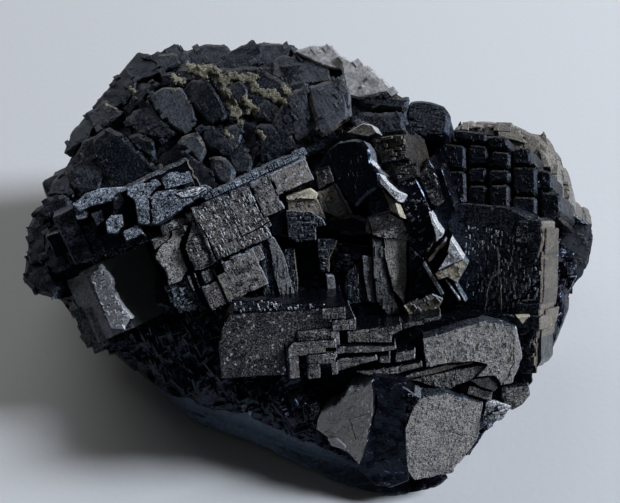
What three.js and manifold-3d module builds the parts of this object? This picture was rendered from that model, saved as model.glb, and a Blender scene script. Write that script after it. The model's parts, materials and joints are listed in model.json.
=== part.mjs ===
// A hand-size fluorite specimen: dark cubes grown together over a broken base.
// Millimetres, +Z up, +X across the widest side. The crystal-covered growth face looks up and to -Y.
import * as THREE from 'three';
import { mergeVertices } from 'three/addons/utils/BufferGeometryUtils.js';
import Module from 'manifold-3d';

// ---------- driving dimensions (mm and degrees) ----------
const GROWTH_TILT = 48;        // the growth face looks this far above the table
const GROWTH_HEIGHT = 22;      // height of the growth frame's origin above the table
const BASE_CUT = 0;            // height of the flat broken base
const DEPTH = 11;              // how far a crystal reaches back into the specimen
const WOBBLE = 1.1;            // largest tilt of one crystal against its cluster
const PIT_TOP = 30;            // a pit is cut from this height in its cluster down to its floor
const BRICK_GAP = 0.25;        // between a brick and the one below it
const BRICK_DROP = 0.4;        // each brick stands this much lower than the one below it
const BRICK_BED = { side: 0.4, drop: 2.4 };          // the slab a column of bricks stands on
const DOME_STEP = { overlap: 0.5, inset: 0.5 };      // between the steps of a dome column
const OUTER_CUBE = { size: 7.4, sizeSpread: 1.8, shapeSpread: 0.15, tilt: 6, forward: 1.2, lowest: 3.2 };
const SEED = 7;

// The matrix under the crystals, as sections across X. Each is a ring of [y, z] points that starts at
// the front of the base, climbs the front, crosses the top and comes down the back.
const MATRIX = [
  {
    x: -45.5,
    ring: [[1, 12], [0, 13], [0, 15], [1, 16], [3, 17], [5, 18],
      [7, 18], [9, 17], [10, 15], [9, 13], [7, 12], [4, 11.5]],
  },
  {
    x: -40,
    ring: [[-1, 8], [-4.5, 10.5], [-4, 15], [-1, 18], [3, 20], [8, 21],
      [13, 21], [18, 20], [21, 17], [21, 12], [16, 7], [7, 6]],
  },
  {
    x: -30,
    ring: [[-4, 0], [-12, 7], [-11.5, 14], [-8.5, 20], [-2, 25], [6, 28],
      [14, 29], [22, 28], [29, 25], [33, 17], [33, 8], [29, 0]],
  },
  {
    x: -20,
    ring: [[-14, 0], [-19.3, 5.3], [-20, 12], [-16, 19], [-8, 25], [1, 29],
      [11, 31], [21, 31.5], [30, 28.5], [36, 19], [37, 8], [34, 0]],
  },
  {
    x: -10,
    ring: [[-18, 0], [-23.6, 4.8], [-23.5, 10.5], [-19, 18], [-9, 26], [2, 31],
      [12, 33.5], [23, 33], [32, 29], [38, 20], [39, 7], [36, 0]],
  },
  {
    x: 0,
    ring: [[-23, 0], [-27.2, 3], [-26.5, 10], [-20, 18], [-9, 24.5], [2, 30],
      [12, 34], [22, 33], [31, 29], [37.5, 19], [38, 7], [35, 0]],
  },
  {
    x: 10,
    ring: [[-28, 0], [-29.5, 2], [-27, 9], [-20, 16], [-9, 23.5], [2, 29],
      [11, 33], [20, 31.5], [28, 27], [34, 18], [35, 7], [32, 0]],
  },
  {
    x: 20,
    ring: [[-27, 0], [-29, 2], [-26.5, 9], [-20, 16], [-9, 23], [0, 28],
      [8, 30], [17, 29], [24, 25], [30, 16], [31, 6], [28, 0]],
  },
  {
    x: 30,
    ring: [[-16, 0], [-22.5, 7], [-21, 12], [-17, 17], [-9, 22], [-1, 25.5],
      [7, 27], [14, 26.5], [21, 22.5], [26, 14.5], [27, 6], [23, 0]],
  },
  {
    x: 38,
    ring: [[-4, 0.5], [-15, 10], [-13.5, 14], [-9, 18], [-4, 21], [2, 23],
      [8, 24], [14, 22.5], [19, 18.5], [22, 13], [21, 6], [13, 0.5]],
  },
  {
    x: 45,
    ring: [[1, 12], [-1, 13.5], [-1, 15], [1, 17], [3, 19], [6, 20],
      [9, 20], [12, 18], [14, 16], [13, 13], [10, 11.5], [5, 11]],
  },
];

// ---------- helpers ----------
let state = SEED;
function random() {
  state = (state * 16807) % 2147483647;
  return state / 2147483647;
}
const spread = (amount) => (2 * random() - 1) * amount;
const degrees = (angle) => angle * Math.PI / 180;

const wasm = await Module();
wasm.setup();

function toSolid(geometry) {
  const bare = geometry.clone();
  bare.deleteAttribute('normal');
  bare.deleteAttribute('uv');
  const merged = mergeVertices(bare, 1e-5);
  return new wasm.Manifold(new wasm.Mesh({
    numProp: 3,
    vertProperties: new Float32Array(merged.attributes.position.array),
    triVerts: new Uint32Array(merged.index.array),
  }));
}

function toGeometry(solid) {
  const mesh = solid.getMesh();
  const geometry = new THREE.BufferGeometry();
  geometry.setAttribute('position', new THREE.BufferAttribute(mesh.vertProperties, 3));
  geometry.setIndex(new THREE.BufferAttribute(mesh.triVerts, 1));
  geometry.computeVertexNormals();
  return geometry;
}

// Growth frame to world: u across, v up the growth face, w out of it.
const tilt = degrees(GROWTH_TILT);
const growthFrame = new THREE.Matrix4().makeBasis(
  new THREE.Vector3(1, 0, 0),
  new THREE.Vector3(0, Math.sin(tilt), Math.cos(tilt)),
  new THREE.Vector3(0, -Math.cos(tilt), Math.sin(tilt)),
).setPosition(0, 0, GROWTH_HEIGHT);

function clusterFrame(at, turn) {
  const [yaw, pitch, roll] = turn.map(degrees);
  const euler = new THREE.Euler(pitch, yaw, roll, 'YXZ');
  const local = new THREE.Matrix4().makeRotationFromEuler(euler).setPosition(...at);
  return growthFrame.clone().multiply(local);
}

// A crystal with its front outline in the cluster's x and y, from back to front along z.
function plate(outline, front, back = front - DEPTH) {
  const shape = new THREE.Shape(outline.map(([x, y]) => new THREE.Vector2(x, y)));
  const geometry = new THREE.ExtrudeGeometry(shape, { depth: front - back, bevelEnabled: false });
  return geometry.translate(0, 0, back);
}

// A crystal with its section outline in x and z, running along the cluster's y.
function prism(section, low, high) {
  const shape = new THREE.Shape(section.map(([x, z]) => new THREE.Vector2(x, -z)));
  const geometry = new THREE.ExtrudeGeometry(shape, { depth: high - low, bevelEnabled: false });
  return geometry.rotateX(-Math.PI / 2).translate(0, low, 0);
}

const box = (x0, x1, y0, y1, front, back = front - DEPTH) =>
  new THREE.BoxGeometry(x1 - x0, y1 - y0, front - back)
    .translate((x0 + x1) / 2, (y0 + y1) / 2, (front + back) / 2);

function tilted(geometry, amount) {
  geometry.computeBoundingBox();
  const centre = geometry.boundingBox.getCenter(new THREE.Vector3());
  return geometry.translate(-centre.x, -centre.y, -centre.z)
    .rotateX(degrees(spread(amount))).rotateY(degrees(spread(amount))).rotateZ(degrees(spread(amount)))
    .translate(centre.x, centre.y, centre.z);
}

function cluster({ at, turn, crystals, pits = [], depth = DEPTH, wobble = WOBBLE }) {
  state = SEED * 1000 + crystals.length;
  let solid = wasm.Manifold.union(crystals.map((crystal) => {
    const geometry = Array.isArray(crystal)
      ? box(...crystal.slice(0, 5), crystal[4] - (crystal[5] ?? depth)) : crystal;
    return toSolid(tilted(geometry, wobble));
  }));
  for (const [x0, x1, y0, y1, floor] of pits) {
    solid = solid.subtract(toSolid(box(x0, x1, y0, y1, PIT_TOP, floor)));
  }
  return solid.transform(clusterFrame(at, turn).elements);
}

// ---------- the matrix ----------
// One curve through each ring point, from the left end to the right end.
const matrixCurves = MATRIX[0].ring.map((_, index) => new THREE.CatmullRomCurve3(
  MATRIX.map(({ x, ring }) => new THREE.Vector3(x, ...ring[index])), false, 'centripetal'));

function matrixSolid() {
  const RING_STEPS = 16;
  const STATION_STEPS = 18;
  const ROUGHNESS = 0.8;
  const rings = [];
  for (let step = 0; step <= STATION_STEPS; step += 1) {
    const points = matrixCurves.map((curve) => curve.getPoint(step / STATION_STEPS));
    const loop = new THREE.CatmullRomCurve3(points, true, 'centripetal');
    const ring = [];
    for (let k = 0; k < RING_STEPS; k += 1) {
      const point = loop.getPoint(k / RING_STEPS);
      ring.push(point.add(new THREE.Vector3(spread(ROUGHNESS), spread(ROUGHNESS), spread(ROUGHNESS))));
    }
    rings.push(ring);
  }
  const positions = rings.flat().flatMap((p) => [p.x, p.y, p.z]);
  const index = [];
  const at = (i, k) => i * RING_STEPS + (k % RING_STEPS);
  for (let i = 0; i < STATION_STEPS; i += 1) {
    for (let k = 0; k < RING_STEPS; k += 1) {
      index.push(at(i, k), at(i + 1, k), at(i + 1, k + 1), at(i, k), at(i + 1, k + 1), at(i, k + 1));
    }
  }
  for (const [i, flip] of [[0, false], [STATION_STEPS, true]]) {
    const centre = rings[i].reduce((sum, p) => sum.add(p), new THREE.Vector3()).divideScalar(RING_STEPS);
    const hub = positions.length / 3;
    positions.push(centre.x, centre.y, centre.z);
    for (let k = 0; k < RING_STEPS; k += 1) {
      index.push(...(flip ? [hub, at(i, k + 1), at(i, k)] : [hub, at(i, k), at(i, k + 1)]));
    }
  }
  const geometry = new THREE.BufferGeometry();
  geometry.setAttribute('position', new THREE.Float32BufferAttribute(positions, 3));
  geometry.setIndex(index);
  const solid = toSolid(geometry);
  if (solid.volume() < 0) throw new Error('the matrix is inside out');
  return solid;
}

// ---------- the crystal clusters ----------
// Each crystal is [left, right, low, high, front] in its cluster's own frame, or a plate or prism.
// A sixth number is its own depth.

// The long ridge: one lattice of blocks from the upper right down to the left.
const ridge = cluster({
  at: [-9.4, 3.4, 14], turn: [8, 7, 25],
  crystals: [
    [-7.2, 2.8, -2.5, 6.7, 0], [2.8, 6.4, 0.6, 6.7, 0.05], [1.6, 3.4, -1.1, 0.9, -0.15],
    [6.2, 11.8, 3.7, 6.6, 0.2], [-10.4, -7.3, -2.4, 2.6, -0.35], [-9.4, -7.3, 2.5, 4.8, -0.6],
    [-8.2, -5.9, 4.7, 6.4, -0.9], [-7.7, -0.9, -9.1, -2.8, 0.3], [-10.6, -7.8, -9.2, -5.1, 0],
    [-9.8, -7.9, -4.9, -3.1, -0.3], [-1.2, 0.3, -5.2, -2.8, 0], [-12, -10.6, -5.3, -2.7, -1],
    [-12.4, -10.8, -9, -5.4, -2.4], [-4.7, 12.3, 7, 8.1, -0.3], [-4.7, 12, 6, 7.6, -1.2],
    [-15.6, -11.6, -2.5, 3.2, -1.7], [-14.7, -10.7, 3, 4.7, -1.5], [-12.6, -8.5, 4.5, 6.1, -1.1],
    [-15.9, -12.7, -5.4, -2.7, -2.6], [-15.2, -12.4, -8, -5.2, -3.1],
    [-12.8, -8.1, 7.1, 11.3, 0.9], [-8, -3.3, 8.1, 10.2, 0.6], [-9.6, -4.7, 10.1, 13.1, -0.2],
    [-15, -10.4, 11.8, 14.3, 0.1], [-15.4, -13.2, 7, 11.9, 0.1], [-13.4, -12.7, 7, 11.6, -1.6],
    [-16, -4, 6.6, 13.6, -3.4],
  ],
});

// The ridge's left end, where the same lattice steps down.
const ridgeEnd = cluster({
  at: [-9.7, 3.5, 9.6], turn: [8, 7, 25],
  crystals: [
    [-18.6, -15.2, 6.4, 8.4, 2.6], [-20.4, -17.4, 8.7, 10.7, 1.2], [-21.5, -19.7, 10.6, 12.7, 0],
    [-24.2, -21.5, 11.2, 14.2, -1.1], [-17.6, -15, 12.1, 14.2, 1.6], [-20.6, -15, 8, 13.8, -2.4],
    [-24, -21.8, 6.2, 11.4, -2.2], [-27.4, -24.1, 6.2, 14.6, -1.8], [-22.2, -18.5, 6, 8.8, -3],
    [-30.4, -27.2, 5.8, 14.2, -4.6], [-33, -29, 5.2, 11.6, -6.4],
    plate([[-33, 13], [-34.8, 11], [-36.4, 8.4], [-35.6, 5], [-32.8, 3.6], [-28, 4], [-28, 13]], -8.6),
    [-25, -14, 5.2, 7, -4.4], [-30, -16, 4, 12, -6],
  ],
});

// The left block: grey flank, bright narrow edge face and wide glossy face.
const leftBlock = cluster({
  at: [-28.9, -6.2, 8], turn: [0, 0, 25], wobble: 0.4,
  crystals: [
    prism([[-9.6, -11], [-9.6, -5.2], [-5.6, -0.4], [-1.9, 0.9], [5.1, -1.4], [5.1, -11]], -5.6, 6.1),
    [-9.2, -6, 5.6, 6.7, -3.5], [-8.1, -6.8, -6.6, 0.2, -2.2], [-11, -8.1, -5.6, 1, -4.4],
    [-10.4, -8.6, -7, -5, -5.2], [-1.6, 4.6, -7.6, -5.4, -3.8],
  ],
});

// The front block: a broad face with nested steps cut off by a slot.
const frontBlock = cluster({
  at: [-3.1, -13.6, 17], turn: [4, 16, 4],
  crystals: [
    plate([[-10.9, -5.6], [6.9, -5.8], [7.3, 4.6], [5, 4.9], [-9, 4.9], [-10.2, 2.8], [-10.9, 0]], 0),
    [1.2, 6.9, -5.9, 1.6, 0.4],
    plate([[-0.6, -6], [7.1, -6], [7.1, -0.1], [0.4, -0.1], [-0.6, -1]], 0.85),
    [2.4, 6.9, -3.7, -2.1, 1.25], [2.4, 4.3, -6.2, -3.6, 1.2], [5.1, 8.7, 3, 5.1, 0.8],
    [6.6, 10.2, 1.1, 3, 0.55], [6.2, 7.7, -1.3, 1.2, 0.5], [6, 9.4, -5.5, 2.6, -3],
    [-10.2, 6.8, 4.6, 5.5, -0.9], [-9.6, 6.4, 5.2, 6.9, -1.9],
  ],
  pits: [
    [1.05, 2.35, -7, -2.3, -3.2], [7.7, 8.8, -1.2, 1, -4.5], [5.4, 7.05, -2.05, -1.4, -1.8],
    [6.8, 8, -3.8, -3, -2.4], [4.4, 6.2, -7, -4, -2.6],
  ],
});

// The front right block, with long slabs stepping down towards the front block.
const rightBlock = cluster({
  at: [20.2, -15.3, 15], turn: [-3, 13, 10],
  crystals: [
    plate([[-3, -2.6], [4.5, -2.9], [8, -5.4], [12, -5.8], [12.1, 1.9], [8.5, 3.2], [1, 2.7],
      [-3, 2.1]], 0.3),
    plate([[-7, -4], [4.6, -3.1], [12.2, -5], [12.2, -7.3], [8, -7.2], [7, -6.2], [1, -6.4],
      [-4, -5.2]], -0.5),
    [-13.5, -5.2, 3.5, 5.4, 0.6], [-5.2, 0.9, 4.3, 6, 0.5], [-6.2, -0.5, 3.2, 3.85, 0.2],
    [-15, -6.5, 1.7, 3.3, 0.9], [-14.6, -11, 2.2, 3.3, 1.3], [-10.6, -6.6, 1.2, 2.2, 1.5],
    [-16.6, -9.7, -0.8, 1.6, 1.4], [-9.5, -8, -0.8, 0.9, 1.2], [-7.2, -3.8, -1, 0.85, 1],
    [-13, -3.7, -2.6, -0.9, 0.9], [-9.6, -5, -3.7, -2.5, 0.5], [-14.5, 10, -3.4, 2.2, -2.8],
    [-13.5, 1.5, 2.2, 5.4, -3.4], [3.6, 5.1, -8.2, -6.9, -1], [5.2, 7.4, -8.7, -7, -1.1],
    [8.5, 12.6, -9.8, -7.2, -1.4], [12, 14.7, -5.7, 3.4, -1.8], [2, 8, -7.4, -5.6, -2.4],
    plate([[3.6, -13], [6, -13.3], [9.4, -12.2], [12.7, -10.8], [13.4, -9], [12.6, -6], [4, -6]], -4.6),
  ],
});

// The blades in the middle, standing in a hollow.
const blades = cluster({
  at: [4.8, 0.2, 10], turn: [4, 4, 0],
  crystals: [
    [-11.3, -8.8, 1.9, 6.3, -0.5],
    plate([[-8.6, 3], [-7.4, 1.3], [-4.4, 1.5], [-4, 3], [-2.4, 5.1], [-3.6, 6.1], [-8.6, 6.2]], 0.9),
    [-3.4, -1.8, -4, 2.1, 0.4], [-2.5, -0.8, -8.9, -3.8, 0.9], [-7.6, -6.9, -8.6, 1.4, -1.2],
    [-8, 11.2, -11, 7, -6.5], [0.3, 2.9, -2.2, 0.7, -1.6], [0.9, 1.5, -8.4, -2, -1.4],
    [1.6, 3, -9, -2, -2], [3.2, 4.8, -8.7, 0.3, 0.3], [3, 5, -12, -8.5, -0.6],
    plate([[5, 6.2], [5.2, -3], [6, -10], [8.5, -12], [9.3, -10], [8.1, -6], [6.5, 0], [6.8, 5.8]], 0.8),
    plate([[6.7, 0], [9.6, -9], [10.7, -8.9], [10.7, 0.3], [11.3, 1], [11.2, 2.5], [10.6, 5], [9.8, 6],
      [6.9, 5.9]], 1.4),
  ],
});

const slantedBlades = cluster({
  at: [4.8, 0.2, 10], turn: [4, 4, 14],
  crystals: [
    [-11, -9.1, -6.4, 4.6, 0.9], [-12.4, -11, -6.8, 4.4, -2.6], [-9, -7.9, -6.6, 1.6, 0.2],
    [-7.8, -7, -6.2, 2.9, -0.7],
  ],
});

// The black crystal that stands over the hollow, and the brownish slope under it.
const blackCrystal = cluster({
  at: [6.5, 12.2, 13], turn: [-21, -4, 0],
  crystals: [
    plate([[-5.2, 0.9], [-3.4, -0.7], [-1, -4.1], [0.6, -5.7], [1.3, -4.1], [4.2, -1.8], [4.5, -0.2],
      [2.1, 5.3], [-1, 5.3], [-3.4, 4]], 0),
    [3.4, 7.4, -5, -1.2, -1.6], [-1.5, 4.4, 4.6, 7.8, -2.6], [3.4, 11.4, 0.5, 7.6, -6],
    [-6.4, -1.4, 4.2, 8, -3.4],
  ],
});
const brownSlope = cluster({
  at: [3.1, 8.7, 10.6], turn: [6, 18, -52],
  crystals: [[-5.2, 5, -2.6, 2.4, 0], [-6.4, -3.4, -1.6, 3.4, 0.8], [1.2, 6, -5.6, -2.6, -1.8]],
});
const creamCorner = cluster({
  at: [-1.4, 8.4, 12], turn: [4, 10, 22],
  crystals: [[-2.8, 3, -1.5, 1.4, 0], [-3.2, 3.2, -3.2, -1.2, -1.4], [-1, 3.4, 1.8, 3.3, -0.3]],
});

// The stepped crystal on edge, right of the blades.
const steppedCrystal = cluster({
  at: [20.3, 0.2, 14], turn: [-10, 8, -50], wobble: 0.7,
  crystals: [
    plate([[-10.4, -1.6], [-1.2, -3.2], [-1.2, 2.2], [-6.4, 2.3], [-10, 3.4]], -3.4),
    plate([[-5.8, 2], [-2, 0.4], [-0.9, -3.2], [0.1, -3.2], [-0.2, 2.1], [-5.6, 2.7]], -0.6),
    [-9.8, 5.6, -3.4, 2.2, -4.6], [2.7, 5.4, -3.6, 2.1, 0.2], [1.5, 2.8, -1.5, 1.9, -0.7],
    [-2.4, 4.8, 2.05, 2.5, 0.6], [-2, 6, -4.3, -3.4, 0.1], [-1.5, 3.6, -8.6, -4.4, -4],
    [3.7, 6.1, -10.3, -4.3, 0], [5, 10.4, -4.2, -3.5, -0.1], [5.4, 10.6, -3.2, -2.6, 0.1],
    [6, 10.2, -2.3, -1.9, -0.2], [5.6, 9.6, -7, -4.3, -2.6],
    plate([[-12.3, 4.6], [-6.2, 3.6], [-5.3, 4.4], [-6.2, 5.8], [-11.6, 7]], -0.6),
  ],
});

// The big black block on the right with its pale flank.
const blackBlock = cluster({
  at: [29, -1, 13], turn: [-24, 2, -2], wobble: 0.5, depth: 14,
  crystals: [
    plate([[-9.8, 6.4], [-4.8, 0.4], [-7.9, -3], [-5.6, -9.8], [7.5, -9.6], [7.5, 5.2], [3.5, 7.2],
      [1, 8.1], [-5.6, 8.4]], 0, -14),
    [3.6, 7.6, -10.6, -6.8, 0.4], [-1.4, 7.7, -11, -8.7, 0.8], [3.2, 7.4, 1.6, 5, 0.25],
    plate([[1, 5.6], [1, -16.5], [6, -17.5], [6.6, -14], [7.9, -6], [8, 5.2]], -0.8, -14),
    plate([[2, 4.4], [2, -17], [5.4, -18.6], [6.6, -15], [8.2, -6], [8.4, 2.8]], -5, -14),
    plate([[2, 3.4], [2, -14], [6.4, -13.4], [8.6, -6], [8.8, 0.4]], -9.5, -14),
  ],
});

// Rows of small bricks behind the black block.
const BRICK_COLUMNS = [
  { left: -11.4, right: -7.2, front: 1.8, breaks: [-7, 2.2] },
  { left: -6.8, right: -3.4, front: 1.1, breaks: [-6.4, -2.9, -0.6, 2.2] },
  { left: -2.9, right: 0.6, front: 0.6, breaks: [-6.6, -0.1, 0.5, 3, 3.4, 5.2] },
  { left: 1.2, right: 5, front: 0.2, breaks: [-8.2, 0.3, 0.6, 3.2] },
  { left: 5.6, right: 8, front: -0.8, breaks: [-8.6, -4] },
];
const bricks = cluster({
  at: [32, 13, 2.6], turn: [-24, -12, -3],
  crystals: BRICK_COLUMNS.flatMap(({ left, right, front, breaks }) => [
    ...breaks.slice(1).map((high, i) => [left, right, breaks[i] + BRICK_GAP, high, front - BRICK_DROP * i]),
    [left - BRICK_BED.side, right + BRICK_BED.side, breaks[0] - BRICK_BED.side,
      breaks.at(-1) + BRICK_BED.side, front - BRICK_BED.drop],
  ]),
});

// Thin pale shells behind the bricks and the rounded blocks beside them.
const backShells = cluster({
  at: [34, 16, -7], turn: [-18, -26, -4], wobble: 2,
  crystals: [
    plate([[-12, -6], [10.4, -9], [9.6, -1.6], [6.6, 3.8], [2, 6.8], [-3.5, 7.4], [-8, 7.6],
      [-12.4, 6.4]], 0),
    plate([[-9, -6], [11.2, -11], [11, -4.4], [8, 1.6], [3, 4.4], [-9, 4.4]], 1.6),
    [-13.4, -8.6, -1, 3.8, 1.2], [-11, -5, 4, 6.2, -2.2],
  ],
});
const roundedBlocks = cluster({
  at: [20, 22, -2], turn: [-10, -24, -6], wobble: 3,
  crystals: [
    plate([[-4.2, -3.4], [3.4, -3.4], [3.7, 0.6], [2.8, 2.6], [0.6, 3.7], [-2.6, 4], [-4.2, 3.2]], 0.4),
    [-9, -4.6, -3, 4.6, 0], [-14.5, -9.4, -2, 7.4, -1.2],
    [-10, -0.2, -9.5, -3.2, 1.4], [-5, 2, -13, -8.6, 0.4], [-13, -8.4, -8, -2, 1],
  ],
});

// The block at the far right end.
const endBlock = cluster({
  at: [43.6, 0.6, -4], turn: [-10, 18, -6],
  crystals: [
    plate([[-5, -6], [1.6, -6], [3.3, -3], [4.2, 1.4], [2.8, 3], [-5, 4.8]], 0, -9),
    [-6, 0.8, -8.4, -4.6, -1.2, 9], [-6.6, -1, -11, -7.6, -1.8, 9],
    [-8, -3.6, -15, -9, -2.2, 9],
  ],
});

// The block at the foot of the growth face: a grey face, a glossy black face and a grey face.
const footLeft = cluster({
  at: [5.5, -27.3, 12.5], turn: [-22, 22, 0], wobble: 0.3,
  crystals: [
    plate([[-5.6, -0.9], [-2.6, -2.8], [2.2, -6.7], [3.9, -2.6], [5.1, 1.7], [4.6, 7.3], [0, 5.6],
      [-3.4, 2.9]], 0),
  ],
});
const footMiddle = cluster({
  at: [12.3, -28.8, 12.6], turn: [-6, 20, 0], wobble: 0.3,
  crystals: [
    plate([[-2.5, 9.7], [-2.2, 3.8], [-4.3, -3.3], [-5.2, -6.4], [-1, -9.6], [3.3, -8.6], [3.2, -2.5],
      [2.5, 5.9], [0.6, 9.7]], 0),
  ],
});
const footRight = cluster({
  at: [20.5, -28.9, 12], turn: [14, 22, 0], wobble: 0.3,
  crystals: [
    plate([[-6.5, 6], [-6.2, -2.6], [-5.4, -8.7], [1.4, -8], [4.2, -5.6], [6.5, -1.4], [6.6, 6], [0.8, 7.7],
      [-2.4, 8], [-5.9, 8.7]], 0),
    [-5, 5.6, 5.6, 9.4, -1.4],
  ],
});

// The dome at the upper left: thick columns side by side, each stepping up from its outer end. A step
// is where it starts along the column and its height.
const DOME_COLUMNS = [
  { low: -30.5, high: -26.3, end: 9.5, steps: [[-6, -8], [-1.6, -5.8], [3.2, -4]] },
  { low: -26.4, high: -21.8, end: 9.6, steps: [[-8.8, -7.4], [-4.6, -4.8], [1, -3], [6.2, -2.4]] },
  { low: -22.2, high: -17.6, end: 6.4, steps: [[-12, -7], [-7.4, -4.2], [-2, -2]] },
  { low: -17.8, high: -13.4, end: 5, steps: [[-14.2, -6.4], [-10, -3.6], [-4.6, -1.2]] },
  { low: -13.4, high: -9.8, end: 2.8, steps: [[-16.6, -6.2], [-12.2, -3.4], [-7, -0.4]] },
  { low: -9.8, high: -5.6, end: 3.8, steps: [[-18.4, -6], [-14.2, -3], [-8, -0.2]] },
  { low: -5.4, high: -0.6, end: 7.6, steps: [[-19.4, -5.6], [-15, -2.6], [-9.4, 0.2], [-2, -0.5]] },
  {
    low: -0.4, high: 4.4, end: 9.8,
    steps: [[-20.4, -5.4], [-15.6, -2.8], [-9.6, 0.5], [-3.4, -0.9], [-0.2, 1], [4.9, 1.4]],
  },
  { low: 4.6, high: 8.8, end: 10.2, steps: [[-19, -5.2], [-14, -2.4], [-7.2, 0.3], [2.2, -0.1], [6.5, 0.6]] },
  { low: 8.8, high: 13.2, end: 11, steps: [[-16.6, -5.2], [-12, -2.7], [-6, -0.7], [0.6, 0.3]] },
  { low: 13, high: 17.6, end: 11.8, steps: [[-14.8, -5.4], [-10, -3], [-3.8, -1.1], [3.8, 0.8]] },
  { low: 17.4, high: 21.6, end: 12.4, steps: [[-12.9, -6], [-7.2, -3.2], [0, -1.3], [5.6, 0.2]] },
  { low: 21.6, high: 25.8, end: 13, steps: [[-10, -7], [-4.8, -4.4], [1, -2.4], [7.4, -0.6]] },
  { low: 25.6, high: 30, end: 13.4, steps: [[-6.4, -8.6], [-0.6, -6], [5.2, -3.8]] },
  { low: 30, high: 34, end: 13, steps: [[-0.4, -10.4], [4, -7.6]] },
];
const DOME_TURN = [-14, -20, -58];
const dome = cluster({
  at: [-21.5, 18.4, 2], turn: DOME_TURN, wobble: 2.4, depth: 12,
  crystals: DOME_COLUMNS.flatMap(({ low, high, end, steps }) => steps.map(([start, front], i) => {
    const next = i + 1 < steps.length ? steps[i + 1][0] + DOME_STEP.overlap : end;
    const inset = i === 0 ? DOME_STEP.inset : 0;
    return [start, next, low + inset, high - inset, front];
  })),
});

// ---------- the back and the flanks ----------
// Cubes in the dome's lattice cover the sides that the clusters above leave bare.
function outerCubes() {
  const STATIONS = 9;
  const FIRST_CURVE = 8;
  const LAST_CURVE = 10;
  const PLACE_SPREAD = 0.3;
  const { size, sizeSpread, shapeSpread, tilt: cubeTilt, forward, lowest } = OUTER_CUBE;
  const lattice = clusterFrame([0, 0, 0], DOME_TURN).setPosition(0, 0, 0);
  const cubes = [];
  for (let station = 1; station < STATIONS; station += 1) {
    for (let curve = FIRST_CURVE; curve <= LAST_CURVE; curve += 1) {
      const point = matrixCurves[curve].getPoint((station + spread(PLACE_SPREAD)) / STATIONS);
      const side = size + spread(sizeSpread);
      const cube = tilted(new THREE.BoxGeometry(side, side * (1 + spread(shapeSpread)), side), cubeTilt);
      cube.applyMatrix4(lattice).translate(point.x, point.y - forward, Math.max(point.z, lowest));
      cubes.push(toSolid(cube));
    }
  }
  return wasm.Manifold.union(cubes);
}

// ---------- joining ----------
const grown = wasm.Manifold.union([
  matrixSolid(), ridge, ridgeEnd, leftBlock, frontBlock, rightBlock, blades, slantedBlades,
  blackCrystal, brownSlope, creamCorner, steppedCrystal, blackBlock, bricks, backShells,
  roundedBlocks, endBlock, footLeft, footMiddle, footRight, dome, outerCubes(),
]);
const table = toSolid(new THREE.BoxGeometry(300, 300, 100).translate(0, 0, BASE_CUT - 50));
const pieces = grown.subtract(table).decompose().sort((a, b) => b.volume() - a.volume());
const whole = pieces[0];

const fluorite = new THREE.MeshStandardMaterial({ color: 0x23222b, roughness: 0.35, metalness: 0 });
const specimen = new THREE.Mesh(toGeometry(whole), fluorite);
specimen.name = 'fluorite_cluster';
specimen.geometry.computeBoundingBox();
const bounds = specimen.geometry.boundingBox;
specimen.position.set(-(bounds.min.x + bounds.max.x) / 2, -(bounds.min.y + bounds.max.y) / 2, -bounds.min.z);

const group = new THREE.Group();
group.add(specimen);
export default group;
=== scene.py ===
"""A hand-size fluorite specimen: dark cubes grown together in ridges, blades and steps over a broken base.

Sizes are in millimetres until a mesh is placed, and everything placed is in metres.
"""

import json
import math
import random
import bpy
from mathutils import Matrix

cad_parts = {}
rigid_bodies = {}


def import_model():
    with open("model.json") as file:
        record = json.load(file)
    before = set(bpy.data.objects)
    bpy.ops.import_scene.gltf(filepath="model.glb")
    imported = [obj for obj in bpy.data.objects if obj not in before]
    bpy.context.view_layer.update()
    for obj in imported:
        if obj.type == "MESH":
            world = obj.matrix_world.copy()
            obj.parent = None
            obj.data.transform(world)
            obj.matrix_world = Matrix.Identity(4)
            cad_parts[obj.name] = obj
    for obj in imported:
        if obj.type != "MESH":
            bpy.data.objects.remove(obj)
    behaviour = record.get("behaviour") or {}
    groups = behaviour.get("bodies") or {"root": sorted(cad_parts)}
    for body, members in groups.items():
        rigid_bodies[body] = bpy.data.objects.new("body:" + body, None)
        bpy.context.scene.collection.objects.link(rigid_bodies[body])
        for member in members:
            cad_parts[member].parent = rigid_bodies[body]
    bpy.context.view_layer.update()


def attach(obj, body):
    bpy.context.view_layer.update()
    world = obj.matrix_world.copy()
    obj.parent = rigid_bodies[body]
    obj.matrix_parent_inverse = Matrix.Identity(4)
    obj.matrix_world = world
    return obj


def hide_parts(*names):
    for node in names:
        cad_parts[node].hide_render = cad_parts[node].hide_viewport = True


bl_info = {
    "name": "Fluorite Specimen",
    "version": (1, 0, 0),
    "blender": (4, 5, 0),
    "location": "View3D > Sidebar > Fluorite",
    "description": "Grows a fluorite specimen over the packed frame and sets up its stage",
    "category": "Object",
}

import bmesh
import bpy
from bpy.props import FloatProperty, FloatVectorProperty, IntProperty, PointerProperty
from bpy.types import Operator, Panel, PropertyGroup
from mathutils import Euler, Matrix, Vector, noise
from mathutils.bvhtree import BVHTree

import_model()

MM = 0.001
BODY = "root"
CAD_NODE = "fluorite_cluster"

# ---------- the growth frame: u across, v up the growth face, w out of it ----------
GROWTH_TILT = math.radians(48)
GROWTH_ORIGIN = (-0.25, -4.56, 22)
MATRIX_SHIFT = Vector((-0.251, -4.564, 0))
GROWTH = Matrix((
    (1, 0, 0, GROWTH_ORIGIN[0]),
    (0, math.sin(GROWTH_TILT), -math.cos(GROWTH_TILT), GROWTH_ORIGIN[1]),
    (0, math.cos(GROWTH_TILT), math.sin(GROWTH_TILT), GROWTH_ORIGIN[2]),
    (0, 0, 0, 1),
))
EYE_DISTANCE = 220          # from the growth frame's origin, along w
FOCAL_LENGTH, SENSOR_WIDTH = 76.65, 36


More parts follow.
